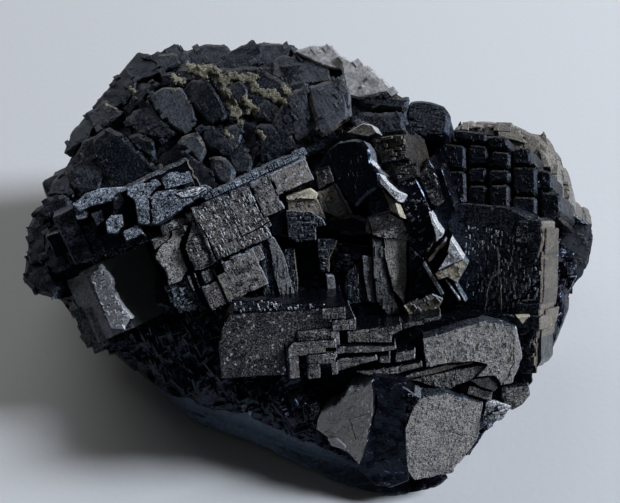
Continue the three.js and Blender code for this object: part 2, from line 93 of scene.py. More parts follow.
def in_growth_frame(at, turn):
    """The place of a lattice in the growth frame: its origin, and its yaw, pitch and roll in degrees."""
    yaw, pitch, roll = (math.radians(angle) for angle in turn)
    return (GROWTH @ Matrix.Translation(at) @ Matrix.Rotation(yaw, 4, "Y")
            @ Matrix.Rotation(pitch, 4, "X") @ Matrix.Rotation(roll, 4, "Z"))


# ---------- finishes ----------
def linear(hexcode):
    """A colour's linear red, green, blue and alpha from its sRGB hex code."""
    parts = (int(hexcode[i:i + 2], 16) / 255 for i in (1, 3, 5))
    return tuple(p / 12.92 if p <= 0.04045 else ((p + 0.055) / 1.055) ** 2.4 for p in parts) + (1.0,)


def add(tree, kind, settings=None, inputs=None):
    """Adds a node. Its inputs are values, or the sockets that feed them."""
    made = tree.nodes.new(kind)
    for name, value in (settings or {}).items():
        setattr(made, name, value)
    for name, value in (inputs or {}).items():
        if isinstance(value, bpy.types.NodeSocket):
            tree.links.new(value, made.inputs[name])
        else:
            made.inputs[name].default_value = value
    return made


# Each finish of the specimen, where it differs from COMMON. Lengths are in millimetres. pale is how much of
# the light colour shows, and contrast how far grains differ. grain, facets and cells are each a size and a
# height, and a facet's height is its slope. lines are the lattice axis that they run along, their spacing
# and their height. stretch is a cell's height against its width, and painted_glints the share of facets
# painted bright as painted glints. cloud is the size and swirl of broad patches, tone how far a crystal's own
# tone shows, and sheen the tint of its shine, a painted reflection. Nothing finer than 0.2 mm shows.
COMMON = {"pale": 0.5, "stretch": 0.5, "painted_glints": 0.03, "cloud": (4.5, 0.8), "tone": 0.35, "sheen": "#a9c2ea"}
FINISHES = {
    # Fluorite, growth face etched matt: a grey bloom with fine bright grains.
    "fluorite_growth_frosted": {
        "dark": "#151416", "light": "#918d8a", "pale": 0.38, "contrast": 1.2, "roughness": (0.22, 0.5),
        "grain": (0.22, 0.12), "facets": (0.34, 0.45), "cells": (0.9, 0.05), "stretch": 0.55,
        "lines": ("y", 0.3, 0.06), "painted_glints": 0.12,
    },
    # Fluorite, growth face under a thick bloom: the palest of the etched faces.
    "fluorite_growth_bloomed": {
        "dark": "#232325", "light": "#b9b6b2", "contrast": 1.1, "roughness": (0.32, 0.6),
        "grain": (0.22, 0.12), "facets": (0.34, 0.45), "cells": (0.9, 0.05), "stretch": 0.55,
        "lines": ("y", 0.3, 0.08), "painted_glints": 0.11,
    },
    # Fluorite, steep growth face that faces the window: a painted highlight, blue-white painted glints over
    # slate.
    "fluorite_glint_painted_highlight": {
        "dark": "#59626d", "light": "#f4f8ff", "pale": 0.72, "contrast": 1.5, "roughness": (0.14, 0.34),
        "grain": (0.24, 0.14), "facets": (0.36, 0.6), "cells": (0.8, 0.08),
        "lines": ("y", 0.3, 0.1), "painted_glints": 0.3,
    },
    # Fluorite, growth face tilted to the sky and deeply etched: near black, with blue-white painted glints
    # that stand in for the sky's light caught by faces that look up.
    "fluorite_etched_sky_glint_painted": {
        "dark": "#10151c", "light": "#a9b6c8", "pale": 0.36, "contrast": 1.1, "roughness": (0.14, 0.34),
        "grain": (0.24, 0.14), "facets": (0.36, 0.8), "cells": (0.8, 0.1),
        "lines": ("x", 0.3, 0.1), "painted_glints": 0.14,
    },
    # Fluorite, fresh growth face: black glass with a violet depth and faint steps.
    "fluorite_growth_glossy": {
        "dark": "#05060a", "light": "#14151e", "pale": 0.3, "contrast": 0.5, "roughness": (0.12, 0.3),
        "grain": (0.5, 0.03), "facets": (1.1, 0.1), "cells": (1.2, 0.03), "stretch": 0.6,
        "lines": ("y", 0.5, 0.02), "painted_glints": 0.004,
    },
    # Fluorite, growth face pitted all over: black with small pale ticks.
    "fluorite_growth_pitted": {
        "dark": "#05070b", "light": "#565c66", "pale": 0.2, "contrast": 0.7, "roughness": (0.14, 0.34),
        "grain": (0.3, 0.1), "facets": (0.45, 0.5), "cells": (0.7, 0.08), "stretch": 0.9,
        "lines": ("y", 0.3, 0.1), "painted_glints": 0.05,
    },
    # Fluorite, cleaved: a smooth olive-black plane with a soft shine.
    "fluorite_cleaved_olive": {
        "dark": "#2b2f31", "light": "#4a4c48", "contrast": 0.3, "roughness": (0.28, 0.36),
        "grain": (0.5, 0.01), "facets": (2.5, 0.01), "cells": (2.5, 0.004), "stretch": 1.0,
        "lines": ("x", 0.8, 0.005), "painted_glints": 0.0,
    },
    # Fluorite, cleaved: a smooth blue-grey plane with low steps, painted lighter as a painted reflection of
    # the floor.
    "fluorite_cleaved_slate": {
        "dark": "#28333f", "light": "#5e6d7e", "contrast": 0.6, "roughness": (0.3, 0.5),
        "grain": (0.5, 0.03), "facets": (2.2, 0.08), "cells": (3.0, 0.06), "stretch": 0.4,
        "lines": ("x", 0.9, 0.04), "painted_glints": 0.02,
    },
    # Fluorite, side of a blade: dull slate with drawn-out streaks.
    "fluorite_blade_dull": {
        "dark": "#15171a", "light": "#8b8e91", "contrast": 0.9, "roughness": (0.34, 0.6),
        "grain": (0.28, 0.08), "facets": (0.5, 0.25), "cells": (1.0, 0.04), "stretch": 0.3,
        "lines": ("y", 0.25, 0.1), "painted_glints": 0.04,
    },
    # Fluorite, old skin of the dome: blue-black with brown-grey swirls and worn edges.
    "fluorite_skin_dusky": {
        "dark": "#03070e", "light": "#5c6068", "pale": 0.1, "contrast": 0.6, "roughness": (0.34, 0.6),
        "grain": (0.35, 0.04), "facets": (1.4, 0.05), "cells": (3.0, 0.03),
        "lines": ("x", 0.5, 0.05), "painted_glints": 0.01, "cloud": (2.6, 2.4), "tone": 0.7,
    },
    # Fluorite, rim of a dome block: brown-grey where the skin has worn off, and paler as a painted highlight
    # where the rims catch the light.
    "fluorite_rim_wear_and_highlight": {
        "dark": "#080b10", "light": "#6e6a64", "pale": 0.16, "contrast": 1.1, "roughness": (0.3, 0.6),
        "grain": (0.28, 0.1), "facets": (0.45, 0.35), "cells": (0.8, 0.05),
        "lines": ("x", 0.4, 0.08),
    },
    # Fluorite, thin flank: tan-grey with long striations, painted light on right-facing flanks that stands in
    # for window light coming in through them. Some fronts, veins, step edges and rubble take it too.
    "fluorite_flank_tan": {
        "dark": "#37332e", "light": "#8d8577", "contrast": 0.8, "roughness": (0.36, 0.6),
        "grain": (0.3, 0.1), "facets": (0.5, 0.25), "cells": (1.1, 0.05), "stretch": 0.3,
        "lines": ("y", 0.3, 0.16),
    },
    # Fluorite, thin outer shell: pale and milky.
    "fluorite_shell_milky": {
        "dark": "#45433f", "light": "#a39e95", "contrast": 0.6, "roughness": (0.35, 0.6),
        "grain": (0.3, 0.08), "facets": (0.8, 0.15), "cells": (2.0, 0.08), "stretch": 0.6,
        "lines": ("y", 0.9, 0.06), "painted_glints": 0.0,
    },
    # Fluorite, thin corner: the palest and clearest, painted light that stands in for light coming through
    # the dome's thin blocks and the right side and top of a shell. A small pale chip at the foot takes it
    # too.
    "fluorite_corner_clear": {
        "dark": "#85868a", "light": "#d2d3d5", "contrast": 0.6, "roughness": (0.3, 0.5),
        "grain": (0.5, 0.05), "facets": (1.6, 0.08), "cells": (2.4, 0.05), "stretch": 0.6,
        "lines": ("y", 0.9, 0.05), "painted_glints": 0.0,
    },
    # Fluorite, pale edge: a painted highlight on bevels, small steps and right-facing sides where they catch
    # the light. The black block's pale veins take it too.
    "fluorite_pale_veins_and_edge_highlight": {
        "dark": "#25282c", "light": "#9ca2ab", "pale": 0.45, "contrast": 0.9, "roughness": (0.22, 0.45),
        "grain": (0.22, 0.08), "facets": (0.35, 0.4), "cells": (0.6, 0.03), "stretch": 1.0,
        "lines": ("y", 0.3, 0.03), "painted_glints": 0.08,
    },
    # Fluorite stained by iron: a brown-grey slope.
    "fluorite_growth_stained": {
        "dark": "#110f0e", "light": "#544b41", "pale": 0.35, "contrast": 0.8, "roughness": (0.32, 0.6),
        "grain": (0.28, 0.12), "facets": (0.5, 0.35), "cells": (0.8, 0.06), "stretch": 0.6,
        "lines": ("x", 0.4, 0.08),
    },
    # Fluorite, broken across the grain: purple-black with small shining facets.
    "fluorite_broken_rough": {
        "dark": "#040409", "light": "#363245", "pale": 0.12, "contrast": 0.3, "roughness": (0.1, 0.34),
        "grain": (0.35, 0.06), "facets": (0.9, 0.5), "cells": (1.3, 0.12), "stretch": 0.8,
        "lines": ("x", 0.6, 0.06), "cloud": (3.0, 1.0),
    },
    # Cream calcite left in the seams: waxy and pale.
    "calcite_seam_waxy": {
        "dark": "#6f6853", "light": "#d8d1bd", "pale": 0.55, "contrast": 0.7, "roughness": (0.35, 0.55),
        "grain": (0.4, 0.12), "facets": (0.6, 0.3), "cells": (0.8, 0.06), "stretch": 1.0,
        "lines": ("x", 0.5, 0.02), "painted_glints": 0.05,
    },
    # Clay stained yellow by iron, dried in the hollows of the dome: crumbly and matt.
    "clay_crust_crumbly": {
        "dark": "#2c2b24", "light": "#989584", "contrast": 0.9, "roughness": (0.7, 0.95),
        "grain": (0.25, 0.12), "facets": (0.4, 0.3), "cells": (0.5, 0.05), "stretch": 1.0,
        "lines": ("x", 0.5, 0.0), "sheen": "#ffffff",
    },
}
(FROST, BLOOM, GLINT, SPARK, GLOSS, PITTED, OLIVE, SLATE, BLADE, DUSK, RIM, TAN, SHELL, PALE, EDGE, BROWN,
 BROKEN, CREAM, CLAY) = range(len(FINISHES))
FLUORITE_IOR = 1.434
PAINTED_GLINT = "#dfe4ec"                        # painted glint: a bright colour painted on a share of facets for the light they catch
PAINTED_GLINT_BLUR = 0.02
GRAIN_RANGE = (0.36, 0.64)               # noise below and above these is all dark and all light
GRAIN_SHARE, CELL_SHARE, CLOUD_SHARE, STREAK_SHARE = 0.9, 0.3, 0.5, 0.6
STREAK_SQUEEZE = 0.12


def finish_material(name, finish):
    """One finish, drawn in the lattice of the crystal that it covers."""
    material = bpy.data.materials.new(name)
    material.use_nodes = True
    tree = material.node_tree
    shader = tree.nodes["Principled BSDF"]
    lattice = add(tree, "ShaderNodeAttribute", {"attribute_name": "lattice"}).outputs["Vector"]
    tone = add(tree, "ShaderNodeAttribute", {"attribute_name": "tone"}).outputs["Fac"]

    grain_size, grain_height = finish["grain"]
    noisy = add(tree, "ShaderNodeTexNoise", None,
                {"Vector": lattice, "Scale": 1 / grain_size, "Detail": 2, "Roughness": 0.6}).outputs["Fac"]
    grain = add(tree, "ShaderNodeMapRange", None,
                {"Value": noisy, "From Min": GRAIN_RANGE[0], "From Max": GRAIN_RANGE[1]}).outputs[0]
    cloud_size, distortion = finish["cloud"]
    cloud = add(tree, "ShaderNodeTexNoise", None,
                {"Vector": lattice, "Scale": 1 / cloud_size, "Detail": 5, "Roughness": 0.6,
                 "Distortion": distortion}).outputs["Fac"]

    # Small flat facets, each tilted its own way: a facet's colour is its tilt.
    facet_size, facet_slope = finish["facets"]
    voronoi = add(tree, "ShaderNodeTexVoronoi", None,
                  {"Vector": lattice, "Scale": 1 / facet_size, "Randomness": 1})
    tilt = add(tree, "ShaderNodeVectorMath", {"operation": "SUBTRACT"},
               {0: voronoi.outputs["Color"], 1: (0.5,) * 3})
    from_centre = add(tree, "ShaderNodeVectorMath", {"operation": "SUBTRACT"},
                      {0: lattice, 1: voronoi.outputs["Position"]})
    faceted = add(tree, "ShaderNodeVectorMath", {"operation": "DOT_PRODUCT"},
                  {0: tilt.outputs[0], 1: from_centre.outputs[0]}).outputs["Value"]
    # Painted glints: a random share of the facets is painted bright, standing in for facets that catch the
    # light.
    painted_glint = add(tree, "ShaderNodeMapRange", None,
                {"Value": voronoi.outputs["Color"], "From Min": 1 - PAINTED_GLINT_BLUR - finish["painted_glints"],
                 "From Max": 1 + PAINTED_GLINT_BLUR - finish["painted_glints"],
                 "To Max": 1 if finish["painted_glints"] else 0}).outputs[0]

    # Square blocks of growth, and streaks drawn out along the lattice.
    cell_size, cell_height = finish["cells"]
    squeezed = add(tree, "ShaderNodeVectorMath", {"operation": "MULTIPLY"},
                   {0: lattice, 1: (finish["stretch"], 1, finish["stretch"])}).outputs[0]
    cell = add(tree, "ShaderNodeTexVoronoi", {"distance": "CHEBYCHEV"},
               {"Vector": squeezed, "Scale": 1 / cell_size, "Randomness": 0.85}).outputs["Color"]
    along, spacing, line_height = finish["lines"]
    drawn = (STREAK_SQUEEZE, 1, 1) if along == "x" else (1, STREAK_SQUEEZE, 1)
    streaked = add(tree, "ShaderNodeVectorMath", {"operation": "MULTIPLY"}, {0: lattice, 1: drawn}).outputs[0]
    streak = add(tree, "ShaderNodeTexNoise", None,
                 {"Vector": streaked, "Scale": 1 / spacing, "Detail": 2}).outputs["Fac"]

    relief = add(tree, "ShaderNodeMath", {"operation": "MULTIPLY"}, {0: noisy, 1: grain_height}).outputs[0]
    for source, height in ((faceted, facet_slope), (cell, cell_height), (streak, line_height)):
        relief = add(tree, "ShaderNodeMath", {"operation": "MULTIPLY_ADD"},
                     {0: source, 1: height, 2: relief}).outputs[0]
    bump = add(tree, "ShaderNodeBump", None, {"Height": relief, "Distance": MM, "Strength": 1.0}).outputs[0]

    # How much of the pale etching shows: each pattern adds or takes away its share.
    pale, contrast = finish["pale"], finish["contrast"]
    shares = ((grain, GRAIN_SHARE), (cell, CELL_SHARE), (cloud, CLOUD_SHARE), (streak, STREAK_SHARE),
              (tone, finish["tone"]))
    etched = pale - contrast * sum(share for _, share in shares) / 2
    for source, share in shares:
        etched = add(tree, "ShaderNodeMath", {"operation": "MULTIPLY_ADD"},
                     {0: source, 1: contrast * share, 2: etched}).outputs[0]
    etched.node.use_clamp = True
    skin = add(tree, "ShaderNodeMix", {"data_type": "RGBA"},
               {0: etched, 6: linear(finish["dark"]), 7: linear(finish["light"])}).outputs[2]
    colour = add(tree, "ShaderNodeMix", {"data_type": "RGBA"},
                 {0: painted_glint, 6: skin, 7: linear(PAINTED_GLINT)}).outputs[2]
    smooth, rough = finish["roughness"]
    roughness = add(tree, "ShaderNodeMapRange", None,
                    {"Value": grain, "To Min": smooth, "To Max": rough}).outputs[0]

    tree.links.new(colour, shader.inputs["Base Color"])
    tree.links.new(roughness, shader.inputs["Roughness"])
    tree.links.new(bump, shader.inputs["Normal"])
    shader.inputs["IOR"].default_value = FLUORITE_IOR
    # A painted reflection: the sheen tints the shine, blue on the fluorite to stand in for a blue sky.
    shader.inputs["Specular Tint"].default_value = linear(finish["sheen"])
    return material


finish_list = []


def finishes():
    """The materials of all finishes, in the order of their numbers."""
    if not finish_list:
        finish_list.extend(finish_material(name, {**COMMON, **finish}) for name, finish in FINISHES.items())
    return finish_list


def carry_finishes(mesh):
    """Gives a mesh the materials of all finishes."""
    for material in finishes():
        mesh.materials.append(material)




# ---------- crystals ----------
BEVEL_SHARE = 0.8           # of a low step's rise, at most
CORNER_SHARE = 0.3          # of a side, at most, is cut off at each corner
SHARPEST_BEND = 0.8         # keeps an inset corner from shooting out
NOTCH_START, NOTCH_WIDTH, NOTCH_GAP = (0.5, 1.4), (0.4, 2.0), (0.4, 2.4)
NOTCH_CHANCE, NOTCH_DEPTH = 0.55, (0.3, 1)
NOTCH_MARGIN = (1.4, 0.5)   # left of a side where the last notch starts, and where it ends
NIBBLE = 0.25
UNEVEN_WIDTH = (0.7, 1.3)
LAYER_ROOT = 0.6            # how deep a thin layer is set into its crystal
MIDDLE_TONE = 0.5
MARK_TONE = (-0.3, 0.4)     # against its crystal's tone
VEIN_ROOT, VEIN_RISE, VEIN_BEVEL = 0.8, 0.06, 0.03
CUT_BEVEL, PIT_TOP = 0.01, 30
BRICK_WIDTH, BRICK_GAP, BRICK_THINNEST, BRICK_LAST = (0.5, 1.7), (0.04, 0.14), 0.15, 0.1
BRICK_ROOT, BRICK_UNEVEN, BRICK_SHORTFALL, BRICK_TILT = 1.5, 0.12, 0.3, 3
WEAR_SEED = 7               # without a seed, vector noise starts from the clock
WEAR_WAVES = ((7, 2), (1.3, 1), (0.5, 0.6))         # sizes in mm, and heights against the wear
CLUSTER_OFFSET = (41, 17, 0)                        # so no two clusters share a stretch of pattern
SPLIT_ROUNDS = 6
SHARP_ANGLE = math.radians(28)
TABLE_REACH, TABLE_BEVEL = 200, 0.1


def rectangle(left, right, low, high):
    return [(left, low), (right, low), (right, high), (left, high)]


def counterclockwise(outline):
    area = sum(a[0] * b[1] - b[0] * a[1] for a, b in zip(outline, outline[1:] + outline[:1]))
    return outline if area > 0 else outline[::-1]


def with_cut_corners(outline, cut):
    """Each corner is cut across, so the crystal's long edges are bevelled."""
    points = []
    for i, corner in enumerate(outline):
        here = Vector(corner)
        for other in (Vector(outline[i - 1]), Vector(outline[(i + 1) % len(outline)])):
            side = other - here
            points.append(tuple(here + side.normalized() * min(cut, side.length * CORNER_SHARE)))
    return points


def nibbled(outline, rng, reach):
    """Long sides break into small square notches, as the layers of a crystal end unevenly."""
    points = []
    for i, corner in enumerate(outline):
        start, end = Vector(corner), Vector(outline[(i + 1) % len(outline)])
        side = end - start
        along = side.normalized()
        inward = Vector((-along.y, along.x))
        points.append(tuple(start))
        at = rng.uniform(*NOTCH_START)
        while at < side.length - NOTCH_MARGIN[0]:
            width = min(rng.uniform(*NOTCH_WIDTH), side.length - NOTCH_MARGIN[1] - at)
            if rng.random() < NOTCH_CHANCE:
                depth = rng.uniform(*NOTCH_DEPTH) * reach
                points.extend(tuple(start + along * t + inward * d)
                              for t, d in ((at, 0), (at, depth), (at + width, depth), (at + width, 0)))
            at += width + rng.uniform(*NOTCH_GAP)
    return points


def inset(outline, amount):
    """The outline moved inwards along its corners' bisectors."""
    points = []
    for i, corner in enumerate(outline):
        here = Vector(corner)
        before = (here - Vector(outline[i - 1])).normalized()
        after = (Vector(outline[(i + 1) % len(outline)]) - here).normalized()
        normal_before, normal_after = Vector((-before.y, before.x)), Vector((-after.y, after.x))
        bisector = normal_before + normal_after
        reach = amount * 2 / max(bisector.length_squared, SHARPEST_BEND)
        points.append(tuple(here + bisector * reach))
    return points


def side_look(edge, looks):
    """A side takes the look of the way that it faces, which paints light and shade by direction. looks are
    front, right, top, left and bottom.
    """
    facing_x, facing_y = edge.y, -edge.x
    if abs(facing_x) > abs(facing_y):
        return looks[1] if facing_x > 0 else looks[3]
    return looks[2] if facing_y > 0 else looks[4]


def slab(outline, back, front, bevel, looks, edge_look=None):
    """A crystal from its front outline, as points, faces and each face's look."""
    ring = counterclockwise(outline)
    count = len(ring)
    points = [(x, y, back) for x, y in ring] + [(x, y, front - bevel) for x, y in ring]
    points += [(x, y, front) for x, y in inset(ring, bevel)]
    faces = [tuple(range(count - 1, -1, -1)), tuple(range(2 * count, 3 * count))]
    face_looks = [looks[4], looks[0]]
    for i in range(count):
        j = (i + 1) % count
        look = side_look(Vector(ring[j]) - Vector(ring[i]), looks)
        faces += [(i, j, count + j, count + i), (count + i, count + j, 2 * count + j, 2 * count + i)]
        face_looks += [look, look if edge_look is None else edge_look]
    return points, faces, face_looks


def prism(section, low, high, bevel, side_looks, looks):
    """A crystal with its section in x and z, running along y. side_looks are its sides' looks in order."""
    points, faces, _ = slab([(x, -z) for x, z in section], low, high, bevel, looks)
    ring = counterclockwise([(x, -z) for x, z in section])
    flipped = ring != [(x, -z) for x, z in section]
    ordered = side_looks[-2::-1] + side_looks[-1:] if flipped else side_looks
    face_looks = [looks[4], looks[2]]
    for look in ordered:
        face_looks += [look, look]
    return [(x, z, -y) for x, y, z in points], faces, face_looks


def ribbon(path, width, rng):
    """The outline of a crack or vein along a path, a little uneven."""
    left, right = [], []
    for i, point in enumerate(path):
        here = Vector(point)
        along = (Vector(path[min(i + 1, len(path) - 1)]) - Vector(path[max(i - 1, 0)])).normalized()
        across = Vector((-along.y, along.x)) * width / 2 * rng.uniform(*UNEVEN_WIDTH)
        left.append(tuple(here + across))
        right.append(tuple(here - across))
    return right + left[::-1]


def turned(points, degrees_xyz, centre=None):
    """Points turned about a centre, which is their own unless another is given."""
    centre = sum((Vector(p) for p in points), Vector()) / len(points) if centre is None else centre
    spin = Euler([math.radians(d) for d in degrees_xyz]).to_matrix()
    return [tuple(centre + spin @ (Vector(p) - centre)) for p in points]


def moved(points, by):
    return [tuple(Vector(p) + by) for p in points]


def operand(shape, tone, home):
    """A closed shape as an object that the boolean can use."""
    points, faces, looks = shape
    mesh = bpy.data.meshes.new("operand")
    mesh.from_pydata(points, [], faces)
    carry_finishes(mesh)
    mesh.polygons.foreach_set("material_index", looks)
    mesh.attributes.new("tone", "FLOAT", "FACE").data.foreach_set("value", [tone] * len(faces))
    obj = bpy.data.objects.new("operand", mesh)
    home.objects.link(obj)
    return obj


def combined(shapes, cuts=()):
    """The union of (shape, tone) pairs, less the union of the cuts, as one mesh."""
    scene_home = bpy.context.scene.collection
    grown, cut_away = bpy.data.collections.new("grown"), bpy.data.collections.new("cut_away")
    first = operand(*shapes[0], scene_home)
    for shape, tone in shapes[1:]:
        operand(shape, tone, grown)
    for shape, tone in cuts:
        operand(shape, tone, cut_away)
    for collection, operation in ((grown, "UNION"), (cut_away, "DIFFERENCE")):
        if collection.objects:
            step = first.modifiers.new(operation, "BOOLEAN")
            step.operation, step.operand_type, step.solver = operation, "COLLECTION", "MANIFOLD"
            step.collection = collection
    mesh = bpy.data.meshes.new_from_object(first.evaluated_get(bpy.context.evaluated_depsgraph_get()))
    for obj in [first, *grown.objects, *cut_away.objects]:
        spare = obj.data
        bpy.data.objects.remove(obj)
        bpy.data.meshes.remove(spare)
    bpy.data.collections.remove(grown)
    bpy.data.collections.remove(cut_away)
    if not mesh.polygons:
        raise RuntimeError("the crystals did not join")
    return mesh


def keep_used_finishes(mesh):
    """Drops the materials that no face uses."""
    looks = [0] * len(mesh.polygons)
    mesh.polygons.foreach_get("material_index", looks)
    used = sorted(set(looks))
    mesh.materials.clear()
    for look in used:
        mesh.materials.append(finishes()[look])
    mesh.polygons.foreach_set("material_index", [used.index(look) for look in looks])


def worn(mesh, edge_limit, wear):
    """Long edges are split and every point is nudged by noise, so no line is ruled and no face dead flat."""
    noise.seed_set(WEAR_SEED)
    soup = bmesh.new()
    soup.from_mesh(mesh)
    bmesh.ops.triangulate(soup, faces=soup.faces)
    for _ in range(SPLIT_ROUNDS):
        long_edges = [edge for edge in soup.edges if edge.calc_length() > edge_limit]
        if not long_edges:
            break
        bmesh.ops.subdivide_edges(soup, edges=long_edges, cuts=1)
        bmesh.ops.triangulate(soup, faces=[face for face in soup.faces if len(face.verts) > 3])
    for vertex in soup.verts:
        vertex.co += sum((noise.noise_vector(vertex.co / size) * height for size, height in wear), Vector())
    soup.to_mesh(mesh)
    soup.free()
    mesh.set_sharp_from_angle(angle=SHARP_ANGLE)


def record_lattice(mesh, offset):
    """Keeps each point's place in the lattice, in millimetres, for the materials."""
    places = [0.0] * (3 * len(mesh.vertices))
    mesh.vertices.foreach_get("co", places)
    shifted = [value + offset[i % 3] for i, value in enumerate(places)]
    mesh.attributes.new("lattice", "FLOAT_VECTOR", "POINT").data.foreach_set("vector", shifted)


def place(name, mesh, smooth=False):
    """Shows a finished mesh as one piece of the specimen."""
    keep_used_finishes(mesh)
    mesh.polygons.foreach_set("use_smooth", [smooth] * len(mesh.polygons))
    mesh.validate()
    mesh.name = name
    piece = bpy.data.objects.new(name, mesh)
    bpy.context.scene.collection.objects.link(piece)
    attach(piece, BODY)
    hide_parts(CAD_NODE)
    return piece


def table_cut(matrix):
    """A block under the table top, in a lattice's own frame, that cuts the crystals off flat."""
    outline = rectangle(-TABLE_REACH, TABLE_REACH, -TABLE_REACH, TABLE_REACH)
    points, *rest = slab(outline, -TABLE_REACH, 0, TABLE_BEVEL, [BROKEN] * 5)
    back = matrix.inverted()
    return [tuple(back @ Vector(p)) for p in points], *rest


def thin_layer(outline, front, rise, look, edge, settings):
    """A thin layer on a crystal's front."""
    bevel = min(settings.step_bevel, rise * BEVEL_SHARE)
    return slab(outline, front - LAYER_ROOT, front + rise, bevel, (look, edge, edge, GLOSS, GLOSS), edge)


def growth_steps(rng, spot, settings):
    """Thin lattice-aligned layers on a crystal's front, each with its own small rise."""
    left, right, low, high, front, count, widths, heights, rises, look, edge = spot
    steps = []
    for _ in range(count):
        width, height = rng.uniform(*widths), rng.uniform(*heights)
        x = rng.uniform(left, max(left, right - width))
        y = rng.uniform(low, max(low, high - height))
        rise = rng.uniform(*rises)
        outline = rectangle(x, min(x + width, right), y, min(y + height, high))
        steps.append((thin_layer(outline, front, rise, look, edge, settings), rng.random()))
    return steps


def course(rng, row, settings):
    """A row of little bricks, as a striated strip breaks up."""
    left, right, low, high, front, brick, look, edge = row
    bricks = []
    x = left
    while x < right - BRICK_LAST:
        width = min(brick * rng.uniform(*BRICK_WIDTH), right - x)
        gap = rng.uniform(*BRICK_GAP)
        top = high - rng.random() ** 3 * BRICK_SHORTFALL
        outline = rectangle(x + gap, max(x + width, x + gap + BRICK_THINNEST), low, top)
        shape = slab(outline, front - BRICK_ROOT, front + rng.uniform(-BRICK_UNEVEN, BRICK_UNEVEN),
                     settings.step_bevel, (look, edge, edge, GLOSS, GLOSS), edge)
        tilt = rng.uniform(-BRICK_TILT, BRICK_TILT), rng.uniform(-BRICK_TILT, BRICK_TILT), 0
        bricks.append(((turned(shape[0], tilt), *shape[1:]), rng.random()))
        x += width
    return bricks


def on_plane(matrix, seen, front):
    """The point on a lattice's plane z = front that the eye sees at a point of the plane w = 0."""
    to_lattice = matrix.inverted() @ GROWTH
    eye, spot = to_lattice @ Vector((0, 0, EYE_DISTANCE)), to_lattice @ Vector((*seen, 0))
    ray = spot - eye
    return tuple((eye + ray * ((front - eye.z) / ray.z)).xy)


def extent(outline):
    """The lowest and the highest corner of an outline's box."""
    return (tuple(pick(values) for values in zip(*outline)) for pick in (min, max))


def inside(outline, x, y):
    """Whether a point lies inside an outline."""
    crossed = False
    for (ax, ay), (bx, by) in zip(outline, outline[1:] + outline[:1]):
        if (ay > y) != (by > y) and x < ax + (y - ay) * (bx - ax) / (by - ay):
            crossed = not crossed
    return crossed


def marks_on(rng, outline, front, kind, look, settings):
    """Small layers scattered over a crystal's front. kind is how many there are to a square millimetre,
    their widths, heights and rises, and their edges' look."""
    density, widths, heights, rises, edge = kind
    (left, low), (right, high) = extent(outline)
    marks = []
    for _ in range(int((right - left) * (high - low) * density)):
        x, y = rng.uniform(left, right), rng.uniform(low, high)
        box = rectangle(x, x + rng.uniform(*widths), y, y + rng.uniform(*heights))
        if all(inside(outline, *corner) for corner in box):
            rise = rises[0] + rng.random() ** 2 * (rises[1] - rises[0])
            marks.append(thin_layer(box, front, rise, look, edge, settings))
    return marks


def grow_cluster(name, spec, settings, number):
    """Grows one cluster: its crystals, their growth steps, brick courses and veins, less cracks and pits."""
    rng = random.Random(settings.seed * 1000 + number)
    matrix = in_growth_frame(spec["at"], spec["turn"])
    looks = spec["looks"]
    wobble = spec.get("wobble", settings.wobble)
    bevel = spec.get("bevel", settings.bevel)
    shapes, cuts = [], [(table_cut(matrix), 0.0)]
    for crystal in [*spec.get("crystals", ()), *spec.get("seen", ())]:
        special = crystal[-1] if isinstance(crystal[-1], dict) else {}
        is_outline, is_seen = not isinstance(crystal[0], (int, float)), isinstance(crystal[0], tuple)
        outline, front = crystal[:2] if is_outline else (rectangle(*crystal[:4]), crystal[4])
        outline = counterclockwise([on_plane(matrix, p, front) if is_seen else tuple(p) for p in outline])
        kinds = special.get("marks", spec.get("marks", ())) if is_seen else ()
        own_looks = special.get("looks", looks)
        marks = []
        for kind in kinds:
            marks += marks_on(rng, outline, front, kind, own_looks[0], settings)
        nibble = special.get("nibble", spec.get("nibble", NIBBLE))
        if nibble:
            outline = nibbled(outline, rng, nibble)
        outline = with_cut_corners(outline, bevel)
        back = front - special.get("depth", spec.get("depth", settings.depth))
        edge = special.get("edge", spec.get("edge"))
        shape = slab(outline, back, front, special.get("bevel", bevel), own_looks, edge)
        tilt = [angle + rng.uniform(-wobble, wobble) for angle in special.get("lean", (0, 0, 0))]
        centre = sum((Vector((*p, front)) for p in outline), Vector()) / len(outline)
        tone = special.get("tone", rng.random())
        shapes.append(((turned(shape[0], tilt, centre), *shape[1:]), tone))
        for mark in marks:
            shapes.append(((turned(mark[0], tilt, centre), *mark[1:]), tone + rng.uniform(*MARK_TONE)))
    for section, low, high, side_looks in spec.get("prisms", ()):
        shapes.append((prism(section, low, high, bevel, side_looks, looks), MIDDLE_TONE))
    for spot in spec.get("steps", ()):
        shapes += growth_steps(rng, spot, settings)
    for row in spec.get("courses", ()):
        shapes += course(rng, row, settings)
    for path, width, front, look in spec.get("veins", ()):
        vein = slab(ribbon(path, width, rng), front - VEIN_ROOT, front + VEIN_RISE, VEIN_BEVEL, [look] * 5)
        shapes.append((vein, rng.random()))
    for path, width, front, depth in spec.get("cracks", ()):
        crack = slab(ribbon(path, width, rng), front - depth, PIT_TOP, CUT_BEVEL, [GLOSS] * 5)
        cuts.append((crack, MIDDLE_TONE))
    for left, right, low, high, floor in spec.get("pits", ()):
        pit = slab(rectangle(left, right, low, high), floor, PIT_TOP, CUT_BEVEL, [GLOSS] * 5)
        cuts.append((pit, MIDDLE_TONE))
    mesh = combined(shapes, cuts)
    worn(mesh, settings.edge_limit, [(size, settings.wear * height) for size, height in WEAR_WAVES])
    record_lattice(mesh, [number * step for step in CLUSTER_OFFSET])
    mesh.transform(Matrix.Scale(MM, 4) @ matrix)
    return place(name, mesh, smooth=True)


# ---------- the clusters ----------
def own(looks=None, tone=None, marks=None, **rest):
    """What is a crystal's own, where it differs from its cluster."""
    given = {"looks": looks, "tone": tone, "marks": marks, **rest}
    return {name: value for name, value in given.items() if value is not None}
